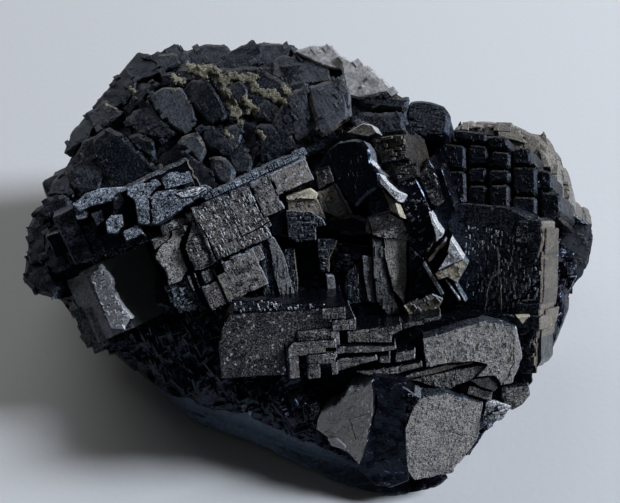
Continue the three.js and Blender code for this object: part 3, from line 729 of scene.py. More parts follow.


# Looks are a crystal's front, right, top, left and bottom. A crystal is left, right, low, high and front
# in its cluster's lattice, or a front outline and its front, and then what is its own: looks, tone, marks
# and the rest. A seen crystal's outline is how the eye sees it on the plane w = 0. Marks are layers on a
# seen crystal's front: how many to a square millimetre, their widths, heights and rises, and their edges'
# look.
# Most of these paint light and shade by side: the top takes the painted glints of SPARK, the right side a
# paler finish as painted window light, and the left side and bottom the black GLOSS as painted shade.
FROSTED = (FROST, EDGE, SPARK, GLOSS, GLOSS)
SHADED = (FROST, EDGE, GLOSS, GLOSS, GLOSS)
SPARKLING = (SPARK, FROST, SPARK, GLOSS, GLOSS)
BLACK = (GLOSS, TAN, SPARK, GLOSS, GLOSS)
PITTED_BLACK = (PITTED, TAN, PITTED, GLOSS, GLOSS)
BLADED = (BLADE, BLADE, SPARK, GLOSS, GLOSS)
DUSKY = (DUSK, DUSK, DUSK, GLOSS, GLOSS)
TANNED = (TAN, TAN, SPARK, GLOSS, BROWN)
STAINED = (BROWN, BROWN, BROWN, GLOSS, GLOSS)
MILKY = (SHELL, SHELL, SHELL, DUSK, DUSK)
BLOOMED = (BLOOM, EDGE, PITTED, GLOSS, GLOSS)
GLINTING = (GLINT, GLINT, GLINT, GLOSS, GLOSS)
PURPLE = (BROKEN, EDGE, EDGE, GLOSS, GLOSS)
CREAMY = (CREAM, CREAM, CREAM, BROWN, BROWN)

GRAINS = (1.4, (0.15, 0.6), (0.15, 0.5), (0.03, 0.12), EDGE)
LAYERS = (1.0, (0.4, 2.4), (0.2, 0.6), (0.03, 0.14), EDGE)
CHIPS = (1.6, (0.2, 1.0), (0.15, 0.5), (0.04, 0.3), EDGE)
STREAKS = (1.2, (0.15, 0.45), (0.5, 2.0), (0.03, 0.25), EDGE)
TICKS = (1.0, (0.12, 0.4), (0.2, 0.7), (0.04, 0.2), EDGE)
GLINT_TICKS = (2.4, (0.12, 0.3), (0.25, 0.8), (0.05, 0.3), GLINT)
RUBBLE = (2.2, (0.3, 1.2), (0.3, 1.0), (0.1, 0.9), GLOSS)
SHELL_LAYERS = (0.3, (0.8, 3.0), (0.5, 2.0), (0.05, 0.3), SHELL)
RIM_CRUMBS = (0.9, (0.2, 0.6), (0.2, 0.6), (0.04, 0.2), RIM)
TAN_RUBBLE = (1.6, (0.3, 1.1), (0.3, 1.0), (0.08, 0.6), TAN)

BRICK_DROP = 0.35       # each brick stands this much lower than the one below it

# Crystals that lean up to the sky: UP takes the painted glints of SPARK, BRIGHT_UP the painted highlight of
# GLINT.
UP = {"looks": SPARKLING, "lean": (-13, 0, 0), "marks": (CHIPS,)}
BRIGHT_UP = {"looks": GLINTING, "lean": (-13, 0, 0), "marks": (CHIPS,)}
BACKING = {"looks": (GLOSS,) * 5, "marks": ()}

# The long ridge: one lattice of blocks from the upper right down to the left.
RIDGE = {
    "at": (-9.4, 3.4, 14), "turn": (8, 7, 25), "looks": FROSTED,
    "crystals": [
        (-7.2, 2.8, -2.5, 6.7, 0), (2.8, 6.4, 0.6, 6.7, 0.05, own(tone=1.5)), (1.6, 3.4, -1.1, 0.9, -0.15),
        (6.2, 12.3, 2.9, 6.6, 0.2, own(tone=1.8)), (-10.4, -7.3, -2.4, 2.6, -0.35),
        (-9.4, -7.3, 2.5, 4.8, -0.6),
        (-8.2, -5.9, 4.7, 6.4, -0.9), (-7.7, -0.9, -9.1, -2.8, 0.3, own(tone=1.6)),
        (-10.6, -7.8, -9.2, -5.1, 0),
        (-9.8, -7.9, -4.9, -3.1, -0.3), (-1.2, 0.3, -5.2, -2.8, 0), (-12, -10.6, -5.3, -2.7, -1),
        (-12.4, -10.8, -9, -5.4, -2.4, own(PITTED_BLACK)),
        (-4.7, 12.9, 7, 8.1, -0.5, UP), (-4.7, 12.6, 6, 7.6, -1.2, own(SPARKLING)),
        (-14.7, -10.7, 3, 4.7, -1.9), (-12.6, -8.5, 4.5, 6.1, -1.3),
        (-15.9, -12.7, -5.4, -2.7, -2.6, own(PITTED_BLACK)),
        (-15.2, -12.4, -8, -5.2, -3.1, own(PITTED_BLACK)),
        (-16, -4, 6.6, 13.6, -3.4, own(BLACK)),
    ],
    "seen": [
        (((-26.8, 9), (-25.6, 10.1), (-23, 10.3), (-17.2, 11.2), (-16.2, 10.5), (-17.6, 9), (-19.9, 7.8),
          (-22.2, 6.3), (-25.6, 4.4), (-26.5, 4.6)), 0.9, UP),
        (((-24.9, 12.1), (-23.3, 13.2), (-19.9, 13.4), (-19.3, 11.4), (-24.1, 10.2)), -0.2, UP),
        (((-22.5, 9.6), (-17.6, 10.9), (-17, 10.4), (-18.8, 9.1), (-21.3, 8.8)), 1.1, BRIGHT_UP),
        (((-30.6, 10.7), (-25.6, 12.2), (-24.9, 11.3), (-26.6, 9.4), (-26.6, 4.4), (-28.7, 4.6), (-29.3, 8.6),
          (-30.5, 9.4)), 0.1, UP),
        (((-23.3, 5.3), (-19.9, 5.7), (-20.3, 3.6), (-21.4, 2.1), (-21.2, -1), (-20.3, -3), (-21.4, -4.9),
          (-23.7, -5.7), (-24.1, -3.3), (-25.8, -1), (-24.9, 0.9), (-23, 2.4)), -1.5,
         own(BLOOMED, 0.9, (GRAINS, CHIPS))),
        (((-23.3, -6.2), (-20.7, -4.6), (-19.2, -6.9), (-18.7, -9.8), (-20.7, -10), (-22.6, -9.2)), -2.2,
         own(SPARKLING, marks=(RUBBLE, CHIPS))),
        (((-19.7, 3.2), (-18.7, 4.6), (-17.4, 2.4), (-16.8, 0.5), (-15.6, -0.7), (-15.6, -1.8), (-18, -3.7),
          (-19.1, -2.2), (-19.9, 0.9)), -0.8, own(tone=1.2, marks=(GRAINS,))),
    ],
    "steps": [
        (-7.1, 2.7, -2.4, 6.6, 0, 80, (0.5, 2.6), (0.3, 1.2), (0.03, 0.12), FROST, EDGE),
        (-7.1, 2.7, -2.4, 6.6, 0, 150, (0.12, 0.3), (0.2, 0.9), (0.06, 0.2), FROST, GLINT),
        (2.8, 12.2, 3, 6.6, 0.12, 50, (0.3, 1.8), (0.25, 0.9), (0.03, 0.12), FROST, EDGE),
        (2.8, 6.3, 0.7, 3, 0.05, 20, (0.12, 0.9), (0.3, 1.0), (0.03, 0.1), FROST, EDGE),
        (-7.6, -1, -9, -2.9, 0.3, 40, (0.2, 1.6), (0.3, 1.1), (0.03, 0.1), FROST, EDGE),
        (-10.4, -7.4, -2.3, 2.6, -0.35, 16, (0.2, 1.2), (0.3, 1.2), (0.03, 0.12), FROST, EDGE),
        (-15.9, -11, -8, -2.7, -2.6, 40, (0.3, 1.1), (0.3, 0.9), (0.05, 0.5), PITTED, SPARK),
        (-4.6, 12.2, 6, 6.9, -1.1, 60, (0.3, 1.4), (0.2, 0.5), (0.05, 0.3), SPARK, EDGE),
    ],
    "courses": [(-4.4, 13, 7.0, 8.0, 0.0, 0.8, SPARK, EDGE), (-5.4, 12.4, 6.0, 6.7, -0.5, 1.3, SPARK, EDGE)],
    "cracks": [
        ([(-9.8, -2.8), (-6.1, -2.75), (-5.6, -2.4), (-2.8, -2.5), (0.9, -2.7)], 0.32, 0.2, 2),
        ([(-1.9, -0.5), (1, -0.45), (3.4, -0.2)], 0.2, 0, 1.4),
        ([(-6.8, 4.5), (-6.5, 1.8), (-6.6, -3.9)], 0.22, 0, 1.2), ([(-1.7, 2.5), (-1.5, -0.7)], 0.18, 0, 0.8),
        ([(-8.1, 4.6), (-10.6, 1.8), (-11.3, -5.0), (-10.9, -8.9)], 0.7, 0, 3),
    ],
    "pits": [(-16.6, -15.3, 8.8, 12, -4), (-20.6, -18.6, 11, 14, -4), (-7.6, -6.1, -4.4, -2.7, -0.8)],
}

# The ridge's left end, where the same lattice steps down.
RIDGE_END = {
    "at": (-9.7, 3.5, 9.6), "turn": (8, 7, 25), "looks": SPARKLING, "nibble": 0.12, "marks": (CHIPS,),
    "seen": [
        (((-31.3, 3.2), (-28.6, 4.5), (-27.6, 3), (-30.6, 1.6)), 4.6, {**UP, "tone": 1}),
        (((-34.1, 4.8), (-33.3, 5.9), (-31.2, 6.1), (-31.1, 4.2), (-32, 2.8), (-33.9, 3)), 3.8,
         {**UP, "tone": 1}),
        (((-36.6, 6.2), (-34.7, 6.9), (-34.2, 5), (-35.6, 4.1)), 0.2),
        (((-39.7, 7.7), (-37, 8.2), (-37.3, 5.5), (-39, 5.2)), -0.8, UP),
        (((-39.7, 7.8), (-37.5, 9.6), (-34.7, 10.6), (-30.6, 11), (-30.5, 9.4), (-32.8, 8.3), (-36.8, 7.4),
          (-38.3, 6.4)), 0.2, UP),
        (((-33, 9), (-31.2, 9.4), (-31.2, 8), (-32.2, 6), (-33, 6)), 0.6),
    ],
    "crystals": [
        (-20.6, -15, 8, 13.8, -2.4, own(BLACK)), (-24, -21.8, 6.2, 11.4, -2.2, own(DUSKY)),
        (-27.4, -24.1, 6.2, 14.6, -1.8, own(DUSKY)), (-22.2, -18.5, 6, 8.8, -3, own(DUSKY)),
        (-25, -14, 5.2, 7, -4.4, own(BLACK)), (-30, -16, 4, 12, -6, own(BLACK)),
    ],
    "steps": [
        (-27.3, -24.2, 6.3, 14.4, -1.8, 30, (0.3, 1.6), (0.3, 1.2), (0.04, 0.25), DUSK, DUSK),
        (-24, -21.8, 6.3, 11.3, -2.2, 16, (0.3, 1.2), (0.3, 1.2), (0.04, 0.2), DUSK, DUSK),
        (-25, -14, 4.4, 7, -3.9, 60, (0.3, 1.4), (0.3, 1.2), (0.05, 0.8), PITTED, SPARK),
    ],
}

# The left block: a grey flank, a narrow face with a painted highlight and a wide cleaved face.
LEFT_BLOCK = {
    "at": (-28.9, -6.2, 8), "turn": (0, 0, 25), "looks": BLADED, "wobble": 0.4,
    "crystals": [
        (-9.2, -6, 5.6, 6.7, -3.5), (-8.1, -6.8, -6.6, 0.2, -2.2), (-11, -8.1, -5.6, 1, -4.4),
        (-10.4, -8.6, -7, -5, -5.2), (-1.6, 4.6, -7.6, -5.4, -3.8, own(PITTED_BLACK)),
    ],
    "prisms": [
        ([(-9.6, -11), (-9.6, -5.2), (-5.6, -0.4), (-1.9, 0.9), (5.1, -1.4), (5.1, -11)], -5.6, 6.1,
         [GLOSS, BLADE, BLADE, OLIVE, GLOSS, GLOSS]),
    ],
    "seen": [
        (((-37, -4.4), (-34.8, -2), (-33, -4.4), (-31.8, -7.9), (-29.6, -11), (-31, -13.1), (-33.3, -13),
          (-35.5, -8)), 1,
         own(GLINTING, 2.4, (GLINT_TICKS, CHIPS, CHIPS), lean=(0, -19, 0), depth=2)),
    ],
}

# The front block: a broad face with nested steps cut off by a slot.
FRONT_BLOCK = {
    "at": (-3.1, -13.6, 17), "turn": (4, 16, 4), "looks": SHADED,
    "crystals": [
        ([(-10.9, -5.6), (6.9, -5.8), (7.3, 4.6), (5, 4.9), (-9, 4.9), (-10.2, 2.8), (-10.9, 0)], 0,
         own(tone=-0.2, nibble=0.15)),
        (1.2, 6.9, -5.9, 1.6, 0.4),
        ([(-0.6, -6), (7.1, -6), (7.1, -0.1), (0.4, -0.1), (-0.6, -1)], 0.85, own(nibble=0.12)),
        (2.4, 6.9, -3.7, -2.1, 1.25), (2.4, 4.3, -6.2, -3.6, 1.2), (5.1, 8.7, 3, 5.1, 0.8),
        (6.6, 10.2, 1.1, 3, 0.55), (6.2, 7.7, -1.3, 1.2, 0.5), (6, 9.4, -5.5, 2.6, -3, own(BLACK)),
    ],
    "seen": [
        (((-12.8, -8.3), (-8, -8.2), (-2.2, -8.6), (5.8, -8.9), (5.8, -9.9), (-12.8, -10.3)), -0.5,
         own((PITTED, GLOSS, GLOSS, GLOSS, GLOSS), marks=(GLINT_TICKS, TICKS), depth=2)),
    ],
    "courses": [
        (5.2, 8.6, 3.2, 4.1, 0.9, 0.7, FROST, EDGE), (6.7, 10.1, 1.2, 2.1, 0.65, 0.8, FROST, EDGE),
        (2.5, 6.8, -3.6, -2.9, 1.35, 0.9, FROST, EDGE),
    ],
    "steps": [
        (-10.5, 0.9, -5.4, 4.6, 0, 26, (0.15, 0.5), (0.15, 0.5), (0.02, 0.05), FROST, EDGE),
        (-0.5, -0.15, -5.9, -0.9, 0.85, 13, (0.2, 0.3), (0.25, 0.5), (0.05, 0.12), EDGE, EDGE),
        (0.4, 7, -1.2, -0.2, 0.85, 16, (0.3, 1.4), (0.2, 0.5), (0.03, 0.1), FROST, EDGE),
        (1.3, 6.8, 0, 1.5, 0.4, 14, (0.3, 1.6), (0.2, 0.6), (0.03, 0.1), FROST, EDGE),
        (1.5, 7, 1.8, 4.4, 0, 22, (0.3, 1.6), (0.2, 0.7), (0.03, 0.12), FROST, EDGE),
        (2.5, 6.8, -3.6, -2.2, 1.25, 10, (0.3, 1.2), (0.2, 0.6), (0.03, 0.1), FROST, EDGE),
    ],
    "pits": [
        (1.05, 2.35, -7, -2.3, -3.2), (7.7, 8.8, -1.2, 1, -4.5), (5.4, 7.05, -2.05, -1.4, -1.8),
        (6.8, 8, -3.8, -3, -2.4), (4.4, 6.2, -7, -4, -2.6), (-1, -0.72, -6.4, -0.6, -0.6),
    ],
}

# The front right block, with long slabs stepping down towards the front block, and chips under it.
RIGHT_BLOCK = {
    "at": (20.2, -15.3, 15), "turn": (-3, 13, 10), "looks": SHADED, "nibble": 0.12, "marks": (LAYERS,),
    "seen": [
        (((18.7, -14.6), (26, -12.4), (29, -11.6), (34.3, -12.6), (35.3, -17.5), (33.7, -22), (31.8, -22.3),
          (30.8, -20.7), (27.6, -21), (29.5, -18.8), (27, -18.4), (22.5, -18.8), (19.3, -19.4)), 0.3,
         own(BLOOMED, 1.7, (GRAINS, TICKS))),
        (((16.2, -21.4), (20.6, -20.4), (27.6, -18.8), (29.8, -18.8), (27, -21.3), (23.2, -23),
          (20.6, -22.6)), -0.3,
         own(BLOOMED, 0.3, (GRAINS, TICKS))),
        (((15.5, -21), (22.5, -18.8), (27.3, -18.5), (20.6, -20.4), (16.2, -21.4)), -0.1, own(TANNED)),
        (((6.1, -13.2), (15.2, -12.1), (15.3, -13.2), (13.6, -14.3), (13.6, -15.3), (6.3, -15.3)), 0.6),
        (((15.3, -12.1), (21.7, -10.3), (21.7, -11.3), (15.5, -13.2)), 0.5),
        (((4.5, -15.7), (14.3, -15.6), (14.4, -16.5), (9.8, -17), (4.5, -17.2)), 1.1),
        (((-0.4, -16.8), (4.4, -16.5), (4.4, -17.5), (1.8, -18.8), (1.5, -20.3), (-0.4, -20.5)), 1.2),
        (((3.9, -18.1), (11.1, -17.2), (11.3, -18.1), (7.9, -19.1), (3.8, -20.5)), 1.4),
        (((11.5, -17.3), (13.4, -17.2), (13.4, -18.7), (11.5, -18.7)), 1.1),
        (((14.2, -16.8), (17.6, -16.3), (17.6, -18.1), (14.2, -18.7)), 0.9),
        (((7.6, -20), (18.7, -18.4), (18.7, -19.4), (13.6, -20.7), (10.1, -21)), 0.8),
        (((26.3, -21.3), (29.8, -20.8), (31.4, -22.6), (30.8, -23.5), (28.3, -22.6)), -0.6,
         own(BLOOMED, 0.9, (GRAINS,))),
        (((26.5, -22.2), (30.5, -23.5), (30.2, -25.1), (26, -23.8)), -0.9, own(BLOOMED, marks=(GRAINS,))),
        (((24.8, -22), (26.3, -22.1), (26.2, -23.6), (24.8, -23.5)), -0.8, BACKING),
        (((29.3, -25.1), (31.1, -25.1), (33.7, -25.8), (32, -28), (28.9, -28.9), (28.6, -28.3)), -1.4,
         own(GLINTING, 0.2, (CHIPS, RUBBLE))),
        (((31.8, -22.7), (36.5, -22.1), (36.7, -23.8), (35.6, -25.4), (33.7, -26.4), (32.1, -25.1)), -2,
         own(BLOOMED, 0.2, (CHIPS,))),
        (((34.9, -14), (37.8, -12.4), (37.8, -20.3), (34, -20.3)), -1.8, own(BLACK, marks=(RUBBLE,))),
        (((34.3, -11.1), (36.8, -10.8), (35.3, -12.3)), -0.6, own(CREAMY, 1.2, ())),
        (((2, -12), (38, -10), (37, -22), (31, -28), (20, -23), (2, -21)), -3.2, BACKING),
    ],
    "cracks": [
        ([(-10.3, 3.4), (-10.2, 5.5)], 0.12, 0.3, 0.4), ([(-7.4, 3.4), (-7.5, 5.5)], 0.1, 0.3, 0.4),
        ([(-12.6, -0.9), (-12.5, 1.7)], 0.12, 1.1, 0.4), ([(-8.2, -2.7), (-8.3, -0.8)], 0.12, 0.6, 0.4),
        ([(11.2, -1.3), (10.9, -2.4), (10.9, -3.7), (10.2, -4.6), (9.6, -5.9)], 0.14, 0.3, 0.4),
    ],
}

# The blades in the middle, standing in a hollow.
BLADES = {
    "at": (4.8, 0.2, 10), "turn": (4, 4, 0), "looks": BLADED, "nibble": 0.1, "marks": (STREAKS,),
    "seen": [
        # The widest blade and its rough head, then the blades to their left, from right to left.
        (((12.3, 2.4), (16.1, 2.4), (16.2, -4.4), (15.8, -8.9), (13.8, -6.6), (12.5, -1.2)), 1.4,
         own(BLOOMED, 1.1, (GRAINS,))),
        (((9.6, 6), (11.1, 6.6), (13.6, 6.4), (15.4, 5.3), (16.1, 3.9), (16.5, 1.7), (12.3, 2.1), (10.5, 2.6),
          (10, 4.6)), 1.7, own(BLOOMED, 0.7, (GRAINS, CHIPS))),
        (((10.4, 2.4), (12.3, 1.9), (12.5, -1.7), (13.2, -5.3), (15.4, -10.9), (13.6, -11.4), (11.1, -8.4),
          (10.5, -3.5)), 0.9, own(tone=0.6, marks=(STREAKS, TICKS))),
        (((8.5, -0.8), (10.4, -0.8), (10.5, -4.4), (11.1, -8.9), (9.8, -8.4), (8.9, -4.4)), 0.3,
         own(tone=0.9, marks=(GRAINS,))),
        (((6, -3.5), (8.4, -1.2), (8.7, -4.4), (10, -8.4), (6.4, -8.9), (5.7, -6.2)), -0.4,
         own(PITTED_BLACK, marks=(STREAKS, TICKS))),
        (((4.4, 1.5), (10, 0.8), (10, -1.2), (6, -3.3), (4.4, -3.5), (3.3, -1.2), (3.9, 0.6)), -0.9,
         own(PURPLE, marks=(RUBBLE, CHIPS, TICKS))),
        (((5.3, -0.4), (6.7, -0.4), (6.7, -1.8), (5.3, -1.8)), -0.7, own(GLINTING, marks=(CHIPS, CHIPS))),
        (((2.5, -3.9), (3.9, -3.9), (4.2, -6.2), (3.9, -8.6), (2.9, -8.6)), 0.4,
         own(tone=1, marks=(GRAINS,))),
        (((1, 2.1), (4.6, 1.9), (4.2, 0.6), (3.3, -1.2), (3.2, -3.5), (1.7, -3.5), (1.5, -1.2)), 0.2,
         own(PITTED_BLACK, marks=(CHIPS, TICKS))),
        (((-2.3, 1.6), (1.4, 2.2), (1.6, -3.4), (2.4, -8.4), (-1.4, -8.4), (-2, -3)), -3.4, BACKING),
        (((-4.4, 0.6), (-2.6, 0.6), (-2.3, -1.7), (-1.9, -4.4), (-1.7, -8.2), (-2.6, -8.2), (-4.4, -0.3)),
         -0.2,
         own(PITTED_BLACK, marks=(STREAKS, TICKS))),
        (((-7.3, 2.4), (-5.9, 2.4), (-4.4, -0.3), (-2.1, -8.2), (-4.8, -8.2), (-5.9, -4.4), (-6.6, 0.1)), 0.8,
         own(tone=0.7, marks=(STREAKS, GRAINS))),
        (((-8.3, 2.4), (-7.3, 2.4), (-6.6, 0.1), (-5.9, -4.4), (-4.8, -8.2), (-8, -8.2), (-7.7, -4.4),
          (-8.4, -0.8)),
         0.2, own(PITTED_BLACK, marks=(STREAKS, TICKS))),
        # The dark block over their heads.
        (((-4.1, 6.8), (-2.6, 6.9), (0.1, 6.6), (2.2, 5.3), (2.6, 4.2), (0.8, 3.9), (1, 1.7), (-2.3, 1.5),
          (-3.7, 2.4)), 1.1, own((DUSK, EDGE, EDGE, GLOSS, GLOSS), 0.7, (CHIPS, TICKS))),
        (((-6.6, 5.5), (-5, 6.9), (-4.1, 6.8), (-3.7, 2.4), (-6.2, 2.8)), 0.4, BACKING),
        (((2, -9.4), (5.8, -9.2), (5.8, -10.8), (2.7, -10.9)), 0.2, own(BLOOMED, marks=(GRAINS,))),
        (((-9, 6), (18, 6), (18, -10), (-6, -11)), -6, BACKING),
    ],
}

# The black crystal that stands over the hollow, the stained slope under it and the cream corner.
BLACK_CRYSTAL = {
    "at": (6.5, 12.2, 13), "turn": (-21, -4, 0), "looks": (GLOSS, EDGE, SPARK, GLOSS, GLOSS), "nibble": 0,
    "seen": [
        (((1.3, 14), (2.4, 16.5), (4.6, 18.4), (7.3, 18.9), (8.7, 18.6), (9.8, 17.3), (10.3, 14.8),
          (11.7, 13.2),
          (11.7, 11), (9.5, 9.4), (7.6, 7.5), (6.2, 8.8), (4.8, 11), (2.9, 14)), 0,
         own(bevel=0.4, edge=GLOSS)),
        (((9.8, 17.3), (10.5, 14.8), (12.2, 12.3), (13.7, 10.6), (15.2, 9.9), (14.3, 8.4), (12.7, 10.1),
          (11.5, 11.3), (10.8, 13.1), (9.9, 15)), -0.2, own(GLINTING, marks=(CHIPS,))),
        (((5.9, 19.8), (8.7, 21.4), (10.3, 21.1), (11.1, 19.9), (9.8, 19.1), (7.6, 19.5)), -1.4,
         own((SHELL, PALE, PALE, GLOSS, GLOSS))),
        (((9.5, 9.1), (11.7, 10.5), (13.3, 6.7), (9.8, 5.8)), -1.6, own(PITTED_BLACK)),
        (((11.9, 10.5), (14.4, 8), (15.2, 5.6), (13.3, 6.7)), -1.2, own((TAN, CREAM, CREAM, GLOSS, GLOSS))),
        (((1, 4.4), (3.5, 5.8), (7.6, 6.2), (9.8, 5.2), (9.8, 3), (7, 2.6), (4.8, 3), (1.3, 3)), -2.6,
         own(BLACK, bevel=0.6)),
        (((9.8, 18.9), (15.8, 19.5), (16.3, 15.4), (11.9, 14.8)), -3,
         own(STAINED, marks=(TAN_RUBBLE, CHIPS))),
        (((14.1, 13.8), (17.9, 15.1), (17.9, 12.7), (14.7, 11.6)), -2.4, own(STAINED, marks=(CHIPS,))),
        (((-3, 19), (4, 21.4), (16, 20), (18, 12), (12, 8), (9, 12)), -5, own(STAINED, marks=(TAN_RUBBLE,))),
    ],
}
BROWN_SLOPE = {
    "at": (3.1, 8.7, 10.6), "turn": (6, 18, -52), "looks": STAINED, "nibble": 0.15, "marks": (CHIPS,),
    "seen": [
        (((0.8, 13.2), (3.2, 14), (4, 11.6), (1.3, 10.2)), 0.9),
        (((1, 10), (3.8, 11.2), (7, 6), (4.4, 5.6), (1.4, 7)), 0.4, own(TANNED, 0.3)),
        (((3.8, 11.3), (4.4, 11.3), (7.4, 6), (6.8, 5.8)), 0.9, own(TANNED, 0.9, ())),
        (((-3.9, 9.8), (-2.2, 11.3), (0.6, 12.9), (1.3, 11.1), (0, 10.2)), -0.4),
        (((0.6, 12.9), (2.7, 13.6), (3.8, 11.3), (1.5, 9.8)), -0.7),
        (((-4, 12), (3, 14), (8, 6), (1, 4), (-4, 6)), -2.2),
    ],
}
CREAM_CORNER = {
    "at": (-1.4, 8.4, 12), "turn": (4, 10, 22), "looks": CREAMY, "nibble": 0.25, "marks": (CHIPS,),
    "seen": [
        (((-4.1, 8.9), (0.1, 10.5), (1.3, 9.6), (1, 8.6), (-1, 8.6), (-3.7, 8.2)), 0.1, own(tone=2.2)),
        (((-3.9, 8.4), (-1, 8.9), (1.2, 8.8), (2.7, 5.3), (0.1, 6.4), (-3.6, 6.6)), -0.5,
         own(TANNED, 2.6)),
    ],
}

# The stepped crystal on edge, right of the blades: black faces, strips with a painted highlight and tan
# undersides.
STEPPED_CRYSTAL = {
    "at": (20.3, 0.2, 14), "turn": (-10, 8, -50), "looks": (GLOSS, TAN, GLOSS, GLOSS, GLOSS),
    "wobble": 0.7, "nibble": 0.12, "marks": (CHIPS,),
    "seen": [
        (((14.7, 11.6), (17.4, 12.4), (18.5, 10.5), (19.8, 7.5), (21.2, 3.1), (19.3, -1.3), (16.8, 0.9),
          (15.8, 5.6)),
         -1.4, own(marks=(TICKS,))),
        (((19.8, 6.8), (21.2, 4.2), (22.3, 2.8), (20.9, 1.5)), -0.4, own(GLINTING)),
        (((22.3, 2), (22.8, 1.5), (19.8, -1.8), (19.3, -1.3)), -0.5, own(TANNED, 1.8)),
        (((23.1, 1.8), (23.1, -0.7), (20.4, -3.5), (19.8, -2.1)), -2.4, BACKING),
        (((23.4, 2.3), (25.8, -1.3), (21.2, -3.2), (22.8, -0.7)), 0.3, own(GLINTING)),
        (((20.7, -3.5), (25.6, -1.3), (26.4, -2.1), (24.5, -5.4), (22.8, -4.3), (21.2, -4.8)), 0.4,
         own((CREAM, SPARK, SPARK, GLOSS, BROWN), 1)),
        (((22.3, -4.6), (22.8, -4.5), (25.3, -8), (24.8, -8.3)), 0.2, own(TANNED, marks=())),
        (((23.3, -4.5), (23.8, -4.4), (26.2, -8.2), (25.7, -8.4)), -0.2, own(BLADED, marks=())),
        (((17.9, 12.9), (19.8, 15.4), (20.7, 14), (22.3, 8.3), (21.5, 7.6), (20.1, 7.8), (19, 10.2)), -2.2,
         own((FROST, TAN, GLOSS, GLOSS, GLOSS), -0.4)),
        (((16.5, 1), (19, -1.2), (20.4, -3.6), (20.6, -7), (16.5, -8)), -1.2, own(marks=(STREAKS,))),
        (((18.5, -2), (19, -1.6), (22.5, -7), (21.8, -7.4)), 0.1, own(BLADED, marks=())),
        (((15.5, -8.9), (20.3, -7), (22.2, -7.9), (21.3, -9.5), (16.5, -10.8)), 0.2, own(TANNED, 1.8)),
        (((15.5, -9), (15.8, -9), (17, -10.4), (21, -9.2), (21.2, -9.7), (16.5, -10.9)), 0.4,
         own(CREAMY, marks=())),
        (((14, 13), (22, 14), (28, -4), (24, -10), (15, -9)), -5, BACKING),
    ],
}

# The big black block on the right, with its flank painted pale and tan for window light coming through.
BLACK_BLOCK = {
    "at": (29, -1, 13), "turn": (-24, 2, -2), "looks": PITTED_BLACK,
    "wobble": 0.5, "depth": 8, "marks": (CHIPS,),
    "crystals": [
        ([(-9.8, 6.4), (-4.8, 0.4), (-7.9, -3), (-5.6, -9.8), (7.5, -9.6), (7.5, 5.2), (3.5, 7.2), (1, 8.1),
          (-5.6, 8.4)], 0, own(tone=0.1)),
        (3.6, 7.6, -10.6, -6.8, 0.4), (-1.4, 7.7, -11, -8.7, 0.8), (7, 7.7, 0.5, 4.6, -1.4, own(tone=0)),
        ([(1, 5.6), (1, -16.5), (6, -17.5), (6.6, -14), (7.7, -6), (7.8, 4.8)], -0.8, own(tone=-0.4)),
        ([(7, -8), (7, -16), (6.2, -17.2), (6.8, -14), (7.9, -8)], -2.4, own(tone=0.3)),
    ],
    "seen": [
        (((34.6, 5.2), (37.8, 5.6), (38.8, 4.9), (38.8, 1.7), (37.4, -3.4), (36.6, 0.8), (35, 2)), 0.15,
         own(PITTED_BLACK, marks=(RUBBLE, CHIPS))),
    ],
    "steps": [
        (-5, 7.3, -6.5, 5, 0, 170, (0.1, 0.2), (0.2, 0.8), (0.02, 0.1), PITTED, GLINT),
        (-6, 7.3, -9.4, 7, 0, 70, (0.3, 1.6), (0.3, 1.4), (0.03, 0.1), PITTED, PITTED),
        (-3, 7.2, -9.4, -2, 0, 130, (0.12, 0.3), (0.2, 0.9), (0.03, 0.14), SPARK, EDGE),
        (3.4, 7.3, 2.6, 5.2, 0.1, 60, (0.2, 0.8), (0.2, 0.7), (0.05, 0.4), PITTED, GLINT),
        (2, 6.6, -16.5, -11, -0.8, 40, (0.3, 1.2), (0.4, 1.4), (0.05, 0.4), PITTED, TAN),
    ],
    "cracks": [
        ([(1.1, -9.4), (1.8, -8.1), (2.9, -7.7), (2.9, -6.6), (5, -6.1), (5.7, -4.8), (7.3, -3.2)],
         0.3, 0.1, 1.4),
        ([(-1.3, 1.2), (-1.2, -2.7), (-2.3, -3.6), (-3.1, -6)], 0.22, 0, 1),
    ],
    "veins": [
        ([(0.4, 1.7), (0.7, -0.5), (0.6, -2.4), (-0.5, -3), (-1.1, -5.1), (-1.4, -7.6)], 0.2, 0.16, EDGE),
        ([(0.9, -2.9), (1.2, -8)], 0.18, 0.16, TAN),
        ([(7, -4.5), (6.4, -6.2), (4.8, -6.5), (3.6, -7.7)], 0.2, 0.16, EDGE),
    ],
}

# Columns of small bricks behind the black block, from left to right: each column's front and its bricks.
BRICK_COLUMNS = (
    (0.8, (((20, 18.3), (25.7, 17.7), (25.9, 13.6), (20.8, 14)),
           ((20.9, 13.7), (25.9, 13.3), (26, 8), (21.9, 8)))),
    (-0.3, (((23.8, 20.4), (29.3, 19.9), (29.4, 18.1), (24, 18.6)),)),
    (0.5, (((26.3, 17.8), (29.4, 17.6), (29.6, 14.4), (26.5, 14.2)),
           ((26.5, 13.9), (29.3, 14), (29.3, 11.4), (26.4, 11.2)),
           ((26.4, 10.9), (29.3, 11.1), (29.3, 7.4), (26.2, 7.4)))),
    (0.9, (((29.8, 19.3), (32.6, 19.3), (33.3, 17), (30, 17)),
           ((30.1, 16.7), (33.3, 16.6), (33.3, 13.8), (30.3, 14)),
           ((29.8, 13.6), (33.3, 13.4), (33.2, 11.4), (29.8, 11.4)),
           ((29.9, 11.1), (33.1, 11.1), (33, 7.2), (29.8, 7.2)))),
    (0.4, (((33.8, 17.4), (36.5, 17.4), (37, 14.4), (33.9, 14.4)),
           ((33.7, 14), (37.7, 14), (37.7, 9.5), (33.8, 9.5)),
           ((33.7, 9.2), (37.7, 9.2), (37.7, 6), (33.7, 6.8)))),
    (-0.4, (((38.2, 13.8), (40.3, 13.4), (40.4, 10.4), (38.3, 10.2)),
            ((38.3, 10), (41.6, 9.9), (41.8, 6.4), (38.6, 5.2)))),
)
